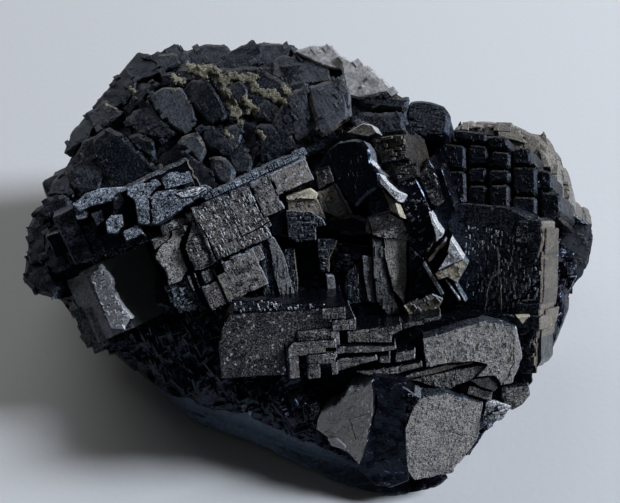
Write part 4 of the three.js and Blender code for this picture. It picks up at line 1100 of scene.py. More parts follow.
BRICKS = {
    "at": (32, 13, 2.6), "turn": (-24, -12, -3), "looks": (DUSK, RIM, RIM, GLOSS, GLOSS),
    "edge": RIM, "bevel": 0.4, "nibble": 0, "wobble": 2.5, "marks": (RIM_CRUMBS,),
    "seen": [(brick, front - BRICK_DROP * row, own(tone=0)) for front, column in BRICK_COLUMNS
             for row, brick in enumerate(reversed(column))]
    + [(((20, 19), (30, 19.6), (39, 14), (42, 6), (22, 6)), -1.6, own(marks=(RUBBLE,), bevel=1))],
}

# Thin pale shells behind the bricks, and the rounded blocks beside them.
PALE_SHELLS = {
    "at": (34, 16, -7), "turn": (-18, -26, -4), "looks": MILKY, "wobble": 1.5, "bevel": 0.8, "nibble": 0.3,
    "marks": (SHELL_LAYERS,),
    "seen": [
        (((24.5, 21.4), (28.5, 22), (32, 21.8), (34, 21.3), (38, 19.6), (40, 17.4), (41.6, 14.4), (42.2, 10),
          (42, 6),
          (30, 6), (25, 14)), 0, own(tone=0.3)),
        (((38, 19.9), (39.6, 19), (41.6, 16), (43, 13.5), (43.6, 10.5), (44, 9), (44.3, 6), (40, 6)), -1.6,
         own(tone=0.2)),
        (((23.5, 20.8), (26.5, 22.3), (29, 21.2), (27.5, 20), (24, 19.6)), 0.9, own(tone=1.6)),
        (((29.5, 21.6), (32.5, 22), (35, 21), (36.5, 18.4), (31, 18.6)), 0.8, own(tone=0.6)),
        (((37.5, 18.2), (39.8, 16.8), (41, 13.6), (38, 13.6)), 0.6, own(tone=0.5)),
    ],
}
ROUNDED_BLOCKS = {
    "at": (20, 22, -2), "turn": (-10, -24, -6), "looks": DUSKY, "wobble": 2, "bevel": 0.8, "nibble": 0,
    "crystals": [
        ([(-4.2, -3.4), (3.4, -3.4), (3.7, 0.6), (2.8, 2.6), (0.6, 3.7), (-2.6, 4), (-4.2, 3.2)], 0.4),
        (-9, -4.6, -3, 4.6, 0), (-14.5, -9.4, -2, 7.4, -1.2, own(MILKY)),
        (-10, -0.2, -9.5, -3.2, 1.4, own(STAINED)), (-5, 2, -13, -8.6, 0.4, own(STAINED)),
        (-13, -8.4, -8, -2, 1),
    ],
    "steps": [
        (-9.8, -0.4, -9.3, -3.4, 1.4, 60, (0.3, 1.4), (0.2, 0.8), (0.05, 0.4), BROWN, TAN),
        (-4.8, 1.8, -12.8, -8.8, 0.4, 40, (0.3, 1.4), (0.2, 0.8), (0.05, 0.4), BROWN, TAN),
        (-4, 3.2, -3.2, 2.4, 0.4, 24, (0.3, 1.8), (0.2, 0.6), (0.04, 0.2), DUSK, RIM),
    ],
}

# The block at the far right end.
END_BLOCK = {
    "at": (43.6, 0.6, -4), "turn": (-10, 18, -6), "looks": (DUSK, BROKEN, RIM, GLOSS, GLOSS), "depth": 9,
    "seen": [
        (((40.7, 5.5), (44.2, 6.2), (47, 4.6), (47.2, 1.7), (46.4, -1.8), (45.4, -4), (43.6, -6),
          (42.6, -8.5),
          (40, -9.4), (40, 3.3)), 0, own(tone=3.6, marks=(RIM_CRUMBS,))),
        (((41.5, 5.6), (44.2, 6), (46.6, 4.5), (43, 3.8), (41.8, 4.4)), 0.3, own(PURPLE, marks=(RUBBLE,))),
        (((41, -4), (44.5, -4), (43.4, -6.2), (41, -9)), 0.3, own(PURPLE, marks=(RUBBLE,))),
        (((37, -8), (42.2, -8), (40.6, -12.8), (38.8, -18.6), (37, -19.6)), -0.8,
         own((TAN, TAN, SPARK, GLOSS, BROWN), 0.8, (STREAKS, TAN_RUBBLE))),
    ],
}

# The block at the foot of the growth face: a grey face, a glossy black face and a grey face.
FOOT_LEFT = {
    "at": (5.5, -27.3, 12.5), "turn": (-16, 20, 0), "looks": (BLOOM, GLOSS, EDGE, GLOSS, GLOSS),
    "wobble": 0.3,
    "seen": [
        (((10.4, -21.6), (8.8, -22.6), (6, -23.2), (4.7, -25.1), (1.5, -27), (0.9, -29.6), (4.7, -32.4),
          (8.2, -35.6),
          (9.5, -32.1), (10.7, -27), (10.7, -23.8)), 0, own(tone=2.2, marks=(GRAINS, TICKS), nibble=0.2)),
        (((2.8, -31.3), (4.5, -31.1), (6, -32.5), (5.5, -33), (3.6, -32.4)), 0.3, own((PALE,) * 5, nibble=0)),
        (((-0.4, -27.5), (1.2, -26.7), (1.5, -28), (0.2, -28.6)), -0.6, own(PURPLE, marks=(RUBBLE, CHIPS))),
    ],
    "cracks": [
        ([(0.8, 1.1), (1.1, 0.2), (1.3, -1.2), (1.5, -2.4)], 0.14, 0, 0.3),
        ([(0.9, 1.1), (2.6, 1.7), (4.4, 2.2)], 0.08, 0, 0.2),
    ],
}
FOOT_MIDDLE = {
    "at": (12.3, -28.8, 12.6), "turn": (-6, 20, 0), "looks": (GLOSS,) * 5, "wobble": 0.3, "nibble": 0,
    "seen": [
        (((10.4, -20.8), (15.5, -21.6), (17.4, -23.5), (16.2, -27), (15.5, -30.2), (16.2, -33.4),
          (16.5, -38.2),
          (13.3, -39.4), (11, -39), (8.2, -36.6), (8.8, -33.4), (10.1, -29.6), (11.1, -25.4)), 0),
        (((15.2, -22.4), (17.2, -23.6), (18.6, -24.4), (17.3, -26.6), (16, -29), (15.6, -26.5)), 0.2,
         own(PURPLE, marks=(RUBBLE, CHIPS))),
    ],
}
FOOT_RIGHT = {
    "at": (20.5, -28.9, 12), "turn": (14, 22, 0), "looks": BLOOMED,
    "wobble": 0.3, "nibble": 0.2, "marks": (GRAINS,),
    "seen": [
        (((19, -24.2), (22.5, -23.5), (28.9, -25.1), (28.4, -29), (28, -31.2), (25.4, -34.7), (23.8, -36.9),
          (17.4, -38.2), (16.2, -36.6), (16, -33.4), (15.7, -29.6), (17.4, -25.1)), 0, own(tone=0.8)),
    ],
    "cracks": [([(2.2, 0.3), (3.4, -0.2), (4.6, 0), (6.5, -0.9)], 0.12, 0, 0.25)],
}


# ---------- the dome ----------
# Blocks side by side, outlined as the eye sees them on the plane w = 0: lift off the dome's own plane,
# steepness against it, how pale it is, the outline, and its look where that is not dusky.
DOME_BLOCKS = (
    # The lobe at the left end.
    (1.5, 1.2, 0.3, ((-48, -5), (-46.5, -2), (-44, -2), (-41.5, -5.5), (-42, -8), (-46.5, -6.5))),
    (1.5, 1.4, 0.25, ((-46.5, -2), (-47.5, 3), (-45.5, 5), (-44, 4), (-44, -2))),
    (3, 1, 0.05, ((-44.5, 3), (-43, 5), (-41.5, 0.5), (-39.5, -1.5), (-41, -3.5), (-44, -3))),
    (1, 1.3, 0.4, ((-47.5, 3.5), (-46, 7), (-43, 6), (-44, 3))),
    (4.2, 0.8, 0.9, ((-42.5, 5.5), (-41, 7), (-39.5, 6.5), (-35.5, -1), (-37.5, -2), (-39.5, -1.5),
                     (-41, 1.5))),
    (1.5, 1.2, 0.35, ((-46, 7), (-43.5, 9), (-41, 9.5), (-39.5, 8), (-43, 5))),
    # The left side, climbing.
    (0, 1.5, 0.45, ((-43.5, 9), (-43.5, 11.5), (-41, 14), (-39.5, 13), (-39, 9))),
    (0.6, 1, 0.15, ((-41, 13.5), (-38.5, 17), (-36.5, 16), (-34, 13.5), (-32, 11), (-33, 9), (-39, 9.5))),
    (-1, 1.7, 0.5, ((-41, 16), (-40, 20), (-37, 23.5), (-35, 22.5), (-36.5, 19), (-38.5, 17.5))),
    (1, 1, 0.8, ((-40, 15.5), (-38, 18.5), (-36, 19.5), (-35.5, 15), (-34, 13.5), (-35, 10), (-39, 10.5))),
    (1.6, 0.9, 0.2, ((-37, 19), (-34, 21), (-31, 19.5), (-24.5, 13), (-27, 11), (-33.5, 10), (-36, 15))),
    (-0.8, 1.5, 0.9, ((-38, 23), (-34.5, 25.5), (-31, 23), (-35.5, 20))),
    (-1.9, 1.5, 0.15, ((-36.5, 24), (-33, 28.5), (-31, 31), (-29, 28.5), (-29, 26), (-32.5, 23.5))),
    (-2.6, 1.6, 0.2, ((-31.5, 30), (-29, 33.5), (-27, 33), (-24.5, 29.5), (-29, 28))),
    # The top, from left to right.
    (-2, 1.5, 1, ((-29, 33), (-26, 33), (-22.5, 33), (-21.5, 31), (-24.5, 29.5), (-27, 32.5))),
    (-4.6, 1.5, 0.7, ((-26, 33), (-22.5, 35), (-20, 33), (-20, 30), (-22, 30.5))),
    (-6, 1.5, 0.8, ((-21, 33.5), (-18, 34.5), (-14, 34.5), (-13, 33), (-14.5, 30.5), (-20, 30))),
    (-2.6, 1.3, 0.4, ((-16, 31), (-13.5, 33.5), (-9.5, 35.5), (-8, 33), (-8.5, 31), (-13.5, 29.5))),
    (-4, 1.3, 1.7, ((-10, 35), (-7.5, 35), (-2, 34), (-3.5, 32), (-6, 30), (-8, 30))),
    (-1.5, 1.2, 1.6, ((-6.5, 32), (-4.5, 33), (-0.5, 32), (3, 31), (3.5, 28), (-3.5, 27.5), (-6, 29.5))),
    # Two blocks at the upper right, painted pale for the light that comes through them.
    (-1, 1.2, 0.2, ((-2.5, 33.5), (0, 34.5), (3.5, 34.5), (5, 32.5), (6, 30), (3, 30.5), (-1, 32.5)), PALE),
    (-0.4, 1, 0.6, ((5, 33), (7, 32), (10, 31), (12.5, 28.5), (14, 26.5), (8.5, 25.5), (6, 26), (5.5, 29)),
     PALE),
    # The right part.
    (0.6, 0.4, 1.2, ((-4, 25.5), (-2.5, 27), (-0.5, 28), (0, 25), (2, 19), (-2.5, 18), (-3.5, 20))),
    (0.9, 0.8, 1.6, ((-0.5, 27.5), (3, 28.5), (5.5, 29.5), (6.5, 22.5), (3.5, 19.5), (1.5, 19), (0, 25))),
    (0.6, 0.6, 1.8, ((4.5, 29.5), (6.5, 27), (7, 22), (5.5, 21.5), (4.5, 26))),
    (0.9, 1, 0.5, ((-6, 23), (-4, 25.5), (-3.5, 20), (-2, 16.5), (-4, 17), (-6.5, 21))),
    (0.2, 1.1, 0.6, ((-9.5, 24), (-7.5, 25.5), (-5.5, 24), (-6, 21), (-9, 22))),
    (1.2, 0.9, 0.2, ((-9, 21.5), (-6, 21.5), (-3, 16.5), (-7.5, 14.5), (-8.5, 16))),
    (0.3, 1.2, 0.05, ((-11.5, 22), (-9, 21.5), (-8.5, 16), (-9.5, 13.5), (-11, 15))),
    # The middle: big faces with one darker than the next.
    (1.3, 1, 0.8, ((-14.5, 20), (-11, 22), (-11.5, 18.5), (-12.5, 17), (-13.5, 18))),
    (1.2, 1, 0.25, ((-21.5, 27), (-20, 29), (-17.5, 29), (-15, 25.5), (-13.5, 22), (-16.5, 21), (-19, 24))),
    (1, 0.7, 1.7, ((-27.5, 26), (-24.5, 27.5), (-21.5, 27.5), (-19.5, 24.5), (-19, 21), (-21.5, 19.5),
                   (-25, 23))),
    (0.5, 1.1, 0.5, ((-31, 22.5), (-27, 26), (-25, 23), (-22, 19.5), (-24, 18), (-29, 19.5))),
    (1.2, 0.8, 0.15, ((-31, 19), (-29, 20), (-26, 18.5), (-25.5, 15), (-29, 17))),
    (0.2, 1, 0.1, ((-27.5, 15.5), (-25.5, 15.5), (-22, 18), (-20, 15), (-20, 12), (-25, 12))),
    (1.9, 0.8, 1.4, ((-22.5, 17.5), (-21, 19.5), (-19, 20), (-17, 17.5), (-18.5, 14.5), (-20.5, 17))),
    (1.4, 1.1, 0.3, ((-19, 21), (-16.5, 21), (-14, 19.5), (-12.5, 17), (-14, 16), (-17, 17.5))),
    (2.2, 0.8, 1.2, ((-17, 16), (-14.5, 16), (-12.5, 13.5), (-13, 11), (-14.5, 11), (-16, 13))),
    (2.6, 1.2, 0.1, ((-22, 17.5), (-18, 14.5), (-16.5, 13.5), (-15, 10.5), (-17.5, 10), (-20, 12))),
    (1, 1.2, 0.4, ((-14.5, 20.5), (-13, 21), (-9.5, 15), (-10, 13), (-12.5, 13), (-14, 16))),
    (0, 1.2, 0.3, ((-25, 29.5), (-23, 30), (-21, 28), (-24.5, 27.5))),
    (-0.9, 1.2, 0.35, ((-29, 28), (-26, 28.5), (-24.5, 27.5), (-27, 26), (-30.5, 23.5))),
    (-0.6, 1.2, 0.6, ((-22, 31), (-14.5, 30), (-14.5, 28.5), (-20, 29), (-21, 27.5), (-23, 30))),
    (0.5, 0.7, 0.8, ((-14, 26.5), (-13, 28), (-11.5, 28.5), (-10.5, 27), (-10.5, 25), (-12, 24.5))),
    (-0.3, 1, 0.45, ((-16, 31), (-8.5, 31), (-3.5, 28), (-3, 26), (-5.5, 24), (-9.5, 24), (-13.5, 21),
                     (-17, 29))),
    # The right rim, down to the lens.
    (-1, 1, 0.9, ((8, 26), (10.5, 26.5), (16.5, 25.5), (16, 23), (8.5, 24.5))),
    (0.3, 0.9, 0.6, ((6.5, 22), (8.5, 23.5), (15.5, 23), (16, 19.5), (11, 19), (10, 21))),
    (1.6, 0.3, 1.3, ((6.5, 20), (8.5, 22), (10, 21.5), (11.5, 19.5), (9, 19), (7, 19))),
    # The beds that show between the blocks.
    (-0.6, 1.2, 0.2, ((-47, -5), (-46.5, 3), (-43, 11), (-39.5, 18.5), (-33.5, 27), (-29, 32), (-16, 32),
                            (-3.5, 31), (-3.5, 13.5), (-11.5, 10), (-26.5, 8.5), (-36.5, 2), (-43.5, -6.5))),
    (-1.8, 1, 0.4, ((-5, 32), (5, 31.5), (12, 28.5), (16, 25), (16, 18.5), (3.5, 17), (-5, 14.5))),
)
DOME_AT, DOME_TURN = (-21.5, 18.4, 2), (-14, -20, -58)
DOME_SLOPE, DOME_DEPTH = (0.25, -0.375), 12
DOME_BEVEL_RANGE = (0.4, 1.3)
DOME_WAVES = ((6, 4), (1.6, 2.4), (0.6, 1))         # sizes in mm, and heights against the lumps
CRUMBS, CRUMB_REACH, CRUMB_SIZE, CRUMB_RISE = 0.4, 0.7, (0.3, 1.4), (0.02, 0.35)
CRUMB_ROOT, CRUMB_BEVEL, CRUMB_TONE = 1.5, 0.12, (-0.2, 0.3)
# Ridges of the back's skin are painted paler, partly wear and partly painted highlight, and its hollows
# darker as painted shade.
RIM_START, RIM_GAIN, HOLLOW_SHADE_GAIN = 0.05, 4.5, 3
OVERLAP, LEAN, SOUND_RIM = 0.1, 0.08, 0.6
OUTER_CUBE = {"size": 7.4, "spread": 1.8, "shape": 0.15, "tilt": 6,
              "forward": 1.2, "lowest": 3.2, "bevel": 0.6, "stray": 0.3}
OUTER_STATIONS, OUTER_CURVES = 12, (7, 8, 9, 10)
OUTER_WAVES = ((6, 2), (1.6, 1), (0.7, 0.6))
SMOOTHING = 0.5
# Each large piece starts its pattern at its own place in the lattice.
DOME_OFFSET, BACK_OFFSET, BASE_OFFSET = (300, 0, 0), (500, 0, 0), (0, 300, 0)
RUBBLE_OFFSET, CRUST_OFFSET = (700, 0, 0), (0, 0, 300)


def remeshed(mesh, voxel, smoothing):
    """The mesh's skin rebuilt in even squares, with its edges worn round and its looks and tones kept."""
    looks = [p.material_index for p in mesh.polygons]
    tones = [item.value for item in mesh.attributes["tone"].data]
    tree = BVHTree.FromPolygons([v.co for v in mesh.vertices], [tuple(p.vertices) for p in mesh.polygons])
    holder = bpy.data.objects.new("remeshed", mesh)
    bpy.context.scene.collection.objects.link(holder)
    skin = holder.modifiers.new("skin", "REMESH")
    skin.mode, skin.voxel_size = "VOXEL", voxel
    worn_round = holder.modifiers.new("worn_round", "SMOOTH")
    worn_round.factor, worn_round.iterations = SMOOTHING, smoothing
    result = bpy.data.meshes.new_from_object(holder.evaluated_get(bpy.context.evaluated_depsgraph_get()))
    bpy.data.objects.remove(holder)
    bpy.data.meshes.remove(mesh)
    carry_finishes(result)
    nearest = [tree.find_nearest(p.center)[2] for p in result.polygons]
    result.polygons.foreach_set("material_index", [looks[i] for i in nearest])
    result.attributes.new("tone", "FLOAT", "FACE").data.foreach_set("value", [tones[i] for i in nearest])
    return result


def weathered(mesh, lumps):
    """Moves each point along its normal by noise: lumps are each a size and a height."""
    normals = [vertex.normal.copy() for vertex in mesh.vertices]
    for vertex, normal in zip(mesh.vertices, normals):
        lift = sum(height * noise.noise(vertex.co / size) for size, height in lumps)
        vertex.co += normal * lift
    mesh.update()


def ridges_paled_hollows_shaded(mesh, voxel):
    """Ridges of the skin are painted pale, partly as wear and partly as painted highlight, and its hollows
    are painted dark as painted shade.
    """
    count = len(mesh.vertices)
    pairs = [tuple(edge.vertices) for edge in mesh.edges]
    links = [0] * count
    around = [Vector() for _ in range(count)]
    for a, b in pairs:
        around[a] += mesh.vertices[b].co
        around[b] += mesh.vertices[a].co
        links[a] += 1
        links[b] += 1
    bend = [(v.co - around[i] / links[i]).dot(v.normal) / voxel if links[i] else 0.0
            for i, v in enumerate(mesh.vertices)]
    total = [0.0] * count
    for a, b in pairs:
        total[a] += bend[b]
        total[b] += bend[a]
    bend = [(value + total[i] / links[i]) / 2 if links[i] else 0.0 for i, value in enumerate(bend)]
    tones = mesh.attributes["tone"].data
    for face in mesh.polygons:
        mean = sum(bend[i] for i in face.vertices) / len(face.vertices)
        paler, darker = max(0, mean - RIM_START) * RIM_GAIN, min(0, mean + RIM_START) * HOLLOW_SHADE_GAIN
        tones[face.index].value += paler + darker


def set_cloudy_tone(mesh, size):
    """Gives each face a tone that drifts over patches of a size."""
    values = [MIDDLE_TONE + MIDDLE_TONE * noise.noise(p.center / size) for p in mesh.polygons]
    mesh.attributes.new("tone", "FLOAT", "FACE").data.foreach_set("value", values)


def skin_tree(carrier):
    """A piece's skin in millimetres, for rays to hit."""
    mesh = carrier.data
    return BVHTree.FromPolygons([tuple(v.co / MM) for v in mesh.vertices],
                                [tuple(p.vertices) for p in mesh.polygons])


def sheared(shape, height, slope, centre):
    """The shape lifted to a height in w and leant along a slope about its centre."""
    points, faces, looks = shape
    lifted = [(x, y, z + height + slope[0] * (x - centre[0]) + slope[1] * (y - centre[1]))
              for x, y, z in points]
    return lifted, faces, looks


def dome_plane(x, y):
    return DOME_AT[2] + DOME_SLOPE[0] * (x - DOME_AT[0]) + DOME_SLOPE[1] * (y - DOME_AT[1])


def grow_dome(settings):
    """The dome: worn blocks side by side, with crumbs of growth along their rims."""
    rng = random.Random(settings.seed)
    matrix = in_growth_frame(DOME_AT, DOME_TURN)
    roll = Matrix.Rotation(math.radians(DOME_TURN[2]), 3, "Z")
    shapes = []
    for lift, steep, tone, seen, *other_look in DOME_BLOCKS:
        look = other_look[0] if other_look else DUSK
        middle = sum((Vector(p) for p in seen), Vector((0, 0))) / len(seen)
        height = dome_plane(*middle) + lift
        shrink = (EYE_DISTANCE - height) / EYE_DISTANCE
        outline = [tuple(Vector(p) * shrink) for p in counterclockwise(list(seen))]
        centre = middle * shrink
        slope = [value * steep + rng.uniform(-LEAN, LEAN) for value in DOME_SLOPE]
        edge = RIM if look == DUSK else look
        bevel = settings.bevel * rng.uniform(*DOME_BEVEL_RANGE)
        ring = with_cut_corners(nibbled(inset(outline, -OVERLAP), rng, settings.nibble), bevel)
        shape = slab(ring, -DOME_DEPTH, 0, bevel, [look] + [SHELL if look == PALE else DUSK] * 4, edge)
        shape = (*shape[:2], [look if face_look == RIM and rng.random() < SOUND_RIM else face_look
                              for face_look in shape[2]])
        shapes.append((sheared(shape, height, slope, centre), tone))
        for start, end in zip(outline, outline[1:] + outline[:1]):
            for _ in range(int((Vector(end) - Vector(start)).length * CRUMBS)):
                on_side = Vector(start).lerp(Vector(end), rng.random())
                spot = on_side.lerp(centre, rng.random() ** 2 * CRUMB_REACH)
                wide, tall = rng.uniform(*CRUMB_SIZE) / 2, rng.uniform(*CRUMB_SIZE) / 2
                rise = CRUMB_RISE[0] + rng.random() ** 2 * CRUMB_RISE[1]
                crumb_bevel = min(CRUMB_BEVEL, rise * BEVEL_SHARE)
                shape = slab(rectangle(-wide, wide, -tall, tall), -CRUMB_ROOT, rise, crumb_bevel, [look] * 5,
                             rng.choice((look, edge)))
                points = [tuple(roll @ Vector(p) + Vector((*spot, 0))) for p in shape[0]]
                crumb = sheared((points, *shape[1:]), height, slope, centre)
                shapes.append((crumb, tone + rng.uniform(*CRUMB_TONE)))
    mesh = combined(shapes)
    worn(mesh, settings.edge_limit, [(size, settings.lump * height) for size, height in DOME_WAVES])
    mesh.transform(matrix.inverted() @ GROWTH)
    record_lattice(mesh, DOME_OFFSET)
    mesh.transform(Matrix.Scale(MM, 4) @ matrix)
    return place("front_dome", mesh, smooth=True)


def grow_back(settings):
    """Cubes all over the back and the flanks, in one worn skin."""
    rng = random.Random(settings.seed + 1)
    matrix = in_growth_frame(DOME_AT, DOME_TURN)
    to_lattice = matrix.inverted()
    shapes = []
    for station in range(1, OUTER_STATIONS):
        for curve in OUTER_CURVES:
            stray = rng.uniform(-OUTER_CUBE["stray"], OUTER_CUBE["stray"])
            spot = matrix_point(curve, (station + stray) / OUTER_STATIONS)
            spot -= Vector((0, OUTER_CUBE["forward"], 0))
            spot.z = max(spot.z, OUTER_CUBE["lowest"])
            half = (OUTER_CUBE["size"] + rng.uniform(-1, 1) * OUTER_CUBE["spread"]) / 2
            tall = half * (1 + rng.uniform(-1, 1) * OUTER_CUBE["shape"])
            outline = with_cut_corners(rectangle(-half, half, -tall, tall), OUTER_CUBE["bevel"])
            shape = slab(outline, -half, half, OUTER_CUBE["bevel"], DUSKY)
            points = turned(shape[0], [rng.uniform(-1, 1) * OUTER_CUBE["tilt"] for _ in range(3)])
            shapes.append(((moved(points, to_lattice @ spot), *shape[1:]), rng.random()))
    mesh = combined(shapes, [(table_cut(matrix), MIDDLE_TONE)])
    mesh = remeshed(mesh, settings.voxel, settings.smoothing)
    weathered(mesh, [(size, settings.lump * height) for size, height in OUTER_WAVES])
    ridges_paled_hollows_shaded(mesh, settings.voxel)
    record_lattice(mesh, BACK_OFFSET)
    mesh.transform(Matrix.Scale(MM, 4) @ matrix)
    for vertex in mesh.vertices:
        vertex.co.z = max(vertex.co.z, 0)
    return place("back_cubes", mesh, smooth=True)


# ---------- the matrix under the crystals ----------
# Sections across X. Each is a ring of [y, z] points that starts at the front of the base, climbs the
# front, crosses the top and comes down the back.
MATRIX_SECTIONS = (
    (-45.5, ((1, 12), (0, 13), (0, 15), (1, 16), (3, 17), (5, 18), (7, 18), (9, 17), (10, 15), (9, 13),
             (7, 12),
             (4, 11.5))),
    (-40, ((-1, 8), (-4.5, 10.5), (-4, 15), (-1, 18), (3, 20), (8, 21), (13, 21), (18, 20), (21, 17),
           (21, 12),
           (16, 7), (7, 6))),
    (-30, ((-4, 0), (-12, 7), (-11.5, 14), (-8.5, 20), (-2, 25), (6, 28), (14, 29), (22, 28), (29, 25),
           (33, 17),
           (33, 8), (29, 0))),
    (-20, ((-14, 0), (-19.3, 5.3), (-20, 12), (-16, 19), (-8, 25), (1, 29), (11, 31), (21, 31.5), (30, 28.5),
           (36, 19), (37, 8), (34, 0))),
    (-10, ((-18, 0), (-23.6, 4.8), (-23.5, 10.5), (-19, 18), (-9, 26), (2, 31), (12, 33.5), (23, 33),
           (32, 29),
           (38, 20), (39, 7), (36, 0))),
    (0, ((-23, 0), (-27.2, 3), (-26.5, 10), (-20, 18), (-9, 24.5), (2, 30), (12, 34), (22, 33), (31, 29),
         (37.5, 19), (38, 7), (35, 0))),
    (10, ((-28, 0), (-29.5, 2), (-27, 9), (-20, 16), (-9, 23.5), (2, 29), (11, 33), (20, 31.5), (28, 27),
          (34, 18),
          (35, 7), (32, 0))),
    (20, ((-27, 0), (-29, 2), (-26.5, 9), (-20, 16), (-9, 23), (0, 28), (8, 30), (17, 29), (24, 25), (30, 16),
          (31, 6), (28, 0))),
    (30, ((-16, 0), (-22.5, 7), (-21, 12), (-17, 17), (-9, 22), (-1, 25.5), (7, 27), (14, 26.5), (21, 22.5),
          (26, 14.5), (27, 6), (23, 0))),
    (38, ((-4, 0.5), (-15, 10), (-13.5, 14), (-9, 18), (-4, 21), (2, 23), (8, 24), (14, 22.5), (19, 18.5),
          (22, 13),
          (21, 6), (13, 0.5))),
    (45, ((1, 12), (-1, 13.5), (-1, 15), (1, 17), (3, 19), (6, 20), (9, 20), (12, 18), (14, 16), (13, 13),
          (10, 11.5), (5, 11))),
)


CURVES = len(MATRIX_SECTIONS[0][1])
FACET_SPREAD = 9.7          # so neighbouring facets draw unlike tilts
BROKEN_FACETS = ((5.5, 0.9), (2, 0.6), (0.9, 0.35))         # sizes in mm, and shares of their height
LIFT_LIMITS = (-1.8, 0.5)
CLEAVED_ROUGHNESS = 0.12
CLEAVED_BOX = {"left": -30, "right": 16, "back": -12, "top": 8.6}
CLEAVED_TOP_FALLS = ((0.35, -7), (-0.7, -20))       # slopes of the top, and where along x they start
CLEAVED_WAVE = (3, 1.2)                             # size and height of the top's noise
BASE_CLOUD = 3


def along_curve(points, share, closed):
    """A point on the smooth curve through the points, share of the way along it."""
    count = len(points) if closed else len(points) - 1
    place_on = share * count
    i = min(int(place_on), count - 1)
    t = place_on - i
    if closed:
        a, b, c, d = (points[(i + k) % len(points)] for k in (-1, 0, 1, 2))
    else:
        b, c = points[i], points[i + 1]
        a = points[i - 1] if i > 0 else 2 * b - c
        d = points[i + 2] if i + 2 < len(points) else 2 * c - b
    square, cube = (2 * a - 5 * b + 4 * c - d) * t ** 2, (3 * b - a - 3 * c + d) * t ** 3
    return 0.5 * (2 * b + (c - a) * t + square + cube)


def matrix_point(curve, share):
    """A point on one of the matrix's long curves."""
    points = [Vector((x, *ring[curve])) + MATRIX_SHIFT for x, ring in MATRIX_SECTIONS]
    return along_curve(points, share, False)


def facet(point, size):
    """A height from small flat facets, each tilted its own way."""
    cell = noise.voronoi(point / size)[1][0]
    lean = noise.cell_vector(cell * FACET_SPREAD) - Vector((0.5, 0.5, 0.5))
    return (point / size - cell).dot(lean) * size


def grow_matrix(settings):
    """The broken rock under the crystals: facets and lumps all over, and a flat base."""
    stations, ring_points = settings.stations, settings.ring_points
    curves = [[matrix_point(curve, s / stations) for s in range(stations + 1)] for curve in range(CURVES)]
    points, faces = [], []
    for s in range(stations + 1):
        ring = [curves[curve][s] for curve in range(CURVES)]
        points += [along_curve(ring, k / ring_points, True) for k in range(ring_points)]
    for s in range(stations):
        for k in range(ring_points):
            a, b = s * ring_points + k, s * ring_points + (k + 1) % ring_points
            faces.append((a, a + ring_points, b + ring_points, b))
    for s, flip in ((0, False), (stations, True)):
        rim = [s * ring_points + k for k in range(ring_points)]
        hub = len(points)
        points.append(sum((points[i] for i in rim), Vector()) / ring_points)
        for i, j in zip(rim, rim[1:] + rim[:1]):
            faces.append((hub, j, i) if flip else (hub, i, j))
    mesh = bpy.data.meshes.new("matrix")
    mesh.from_pydata(points, [], faces)
    carry_finishes(mesh)
    normals = [vertex.normal.copy() for vertex in mesh.vertices]
    for vertex, normal in zip(mesh.vertices, normals):
        here = vertex.co
        rough = settings.roughness * (CLEAVED_ROUGHNESS if is_cleaved(here) else 1)
        lift = rough * sum(share * facet(here, size) for size, share in BROKEN_FACETS)
        vertex.co = here + normal * max(LIFT_LIMITS[0], min(LIFT_LIMITS[1], lift))
        vertex.co.z = max(vertex.co.z, 0)
    mesh.update()
    looks = [SLATE if is_cleaved(p.center) else BROKEN for p in mesh.polygons]
    mesh.polygons.foreach_set("material_index", looks)
    set_cloudy_tone(mesh, BASE_CLOUD)
    record_lattice(mesh, BASE_OFFSET)
    mesh.transform(Matrix.Scale(MM, 4))
    return place("rough_base", mesh)


def is_cleaved(point):
    """The low front has cleaved off smooth."""
    top = CLEAVED_BOX["top"] - sum(max(0, slope * (point.x - start)) for slope, start in CLEAVED_TOP_FALLS)
    size, height = CLEAVED_WAVE
    return (CLEAVED_BOX["left"] < point.x < CLEAVED_BOX["right"] and point.y < CLEAVED_BOX["back"]
            and point.z < top + height * noise.noise(point / size))


# ---------- the rubble ----------
# Where small cubes lie on the broken base, as the eye sees it on the plane w = 0: corners, and how many.
RUBBLE_FIELDS = (
    (((-30, -13.5), (-12.5, -9.5), (-12.5, -21.5), (-4, -24), (6, -28), (9, -33), (3, -31), (-1.3, -29.6),
      (-4.8, -28.6), (-7.1, -26.6), (-11.7, -24.3), (-18.7, -23), (-22.7, -21.8), (-27, -18.5)), 300),
    (((-39, -9), (-33, -9.5), (-29, -14), (-33, -16.5), (-38, -13)), 70),
    (((-19, -6), (-13, -8), (-13, -12), (-22, -13)), 50),
)
RUBBLE_TURN, RUBBLE_TILT = (20, -12, 25), 16
RUBBLE_SIZE, RUBBLE_RISE, RUBBLE_BEVEL = (0.7, 3.2), (0.1, 0.7), 0.06
# Three of these give a top a painted highlight: SPARK on two and EDGE on one, as on the crystals.
RUBBLE_LOOKS = ((PITTED, GLOSS, SPARK, GLOSS, GLOSS), (GLOSS, BROKEN, EDGE, GLOSS, GLOSS), (GLOSS,) * 5,
                (BROKEN, GLOSS, SPARK, GLOSS, BROKEN), (BROKEN,) * 5)


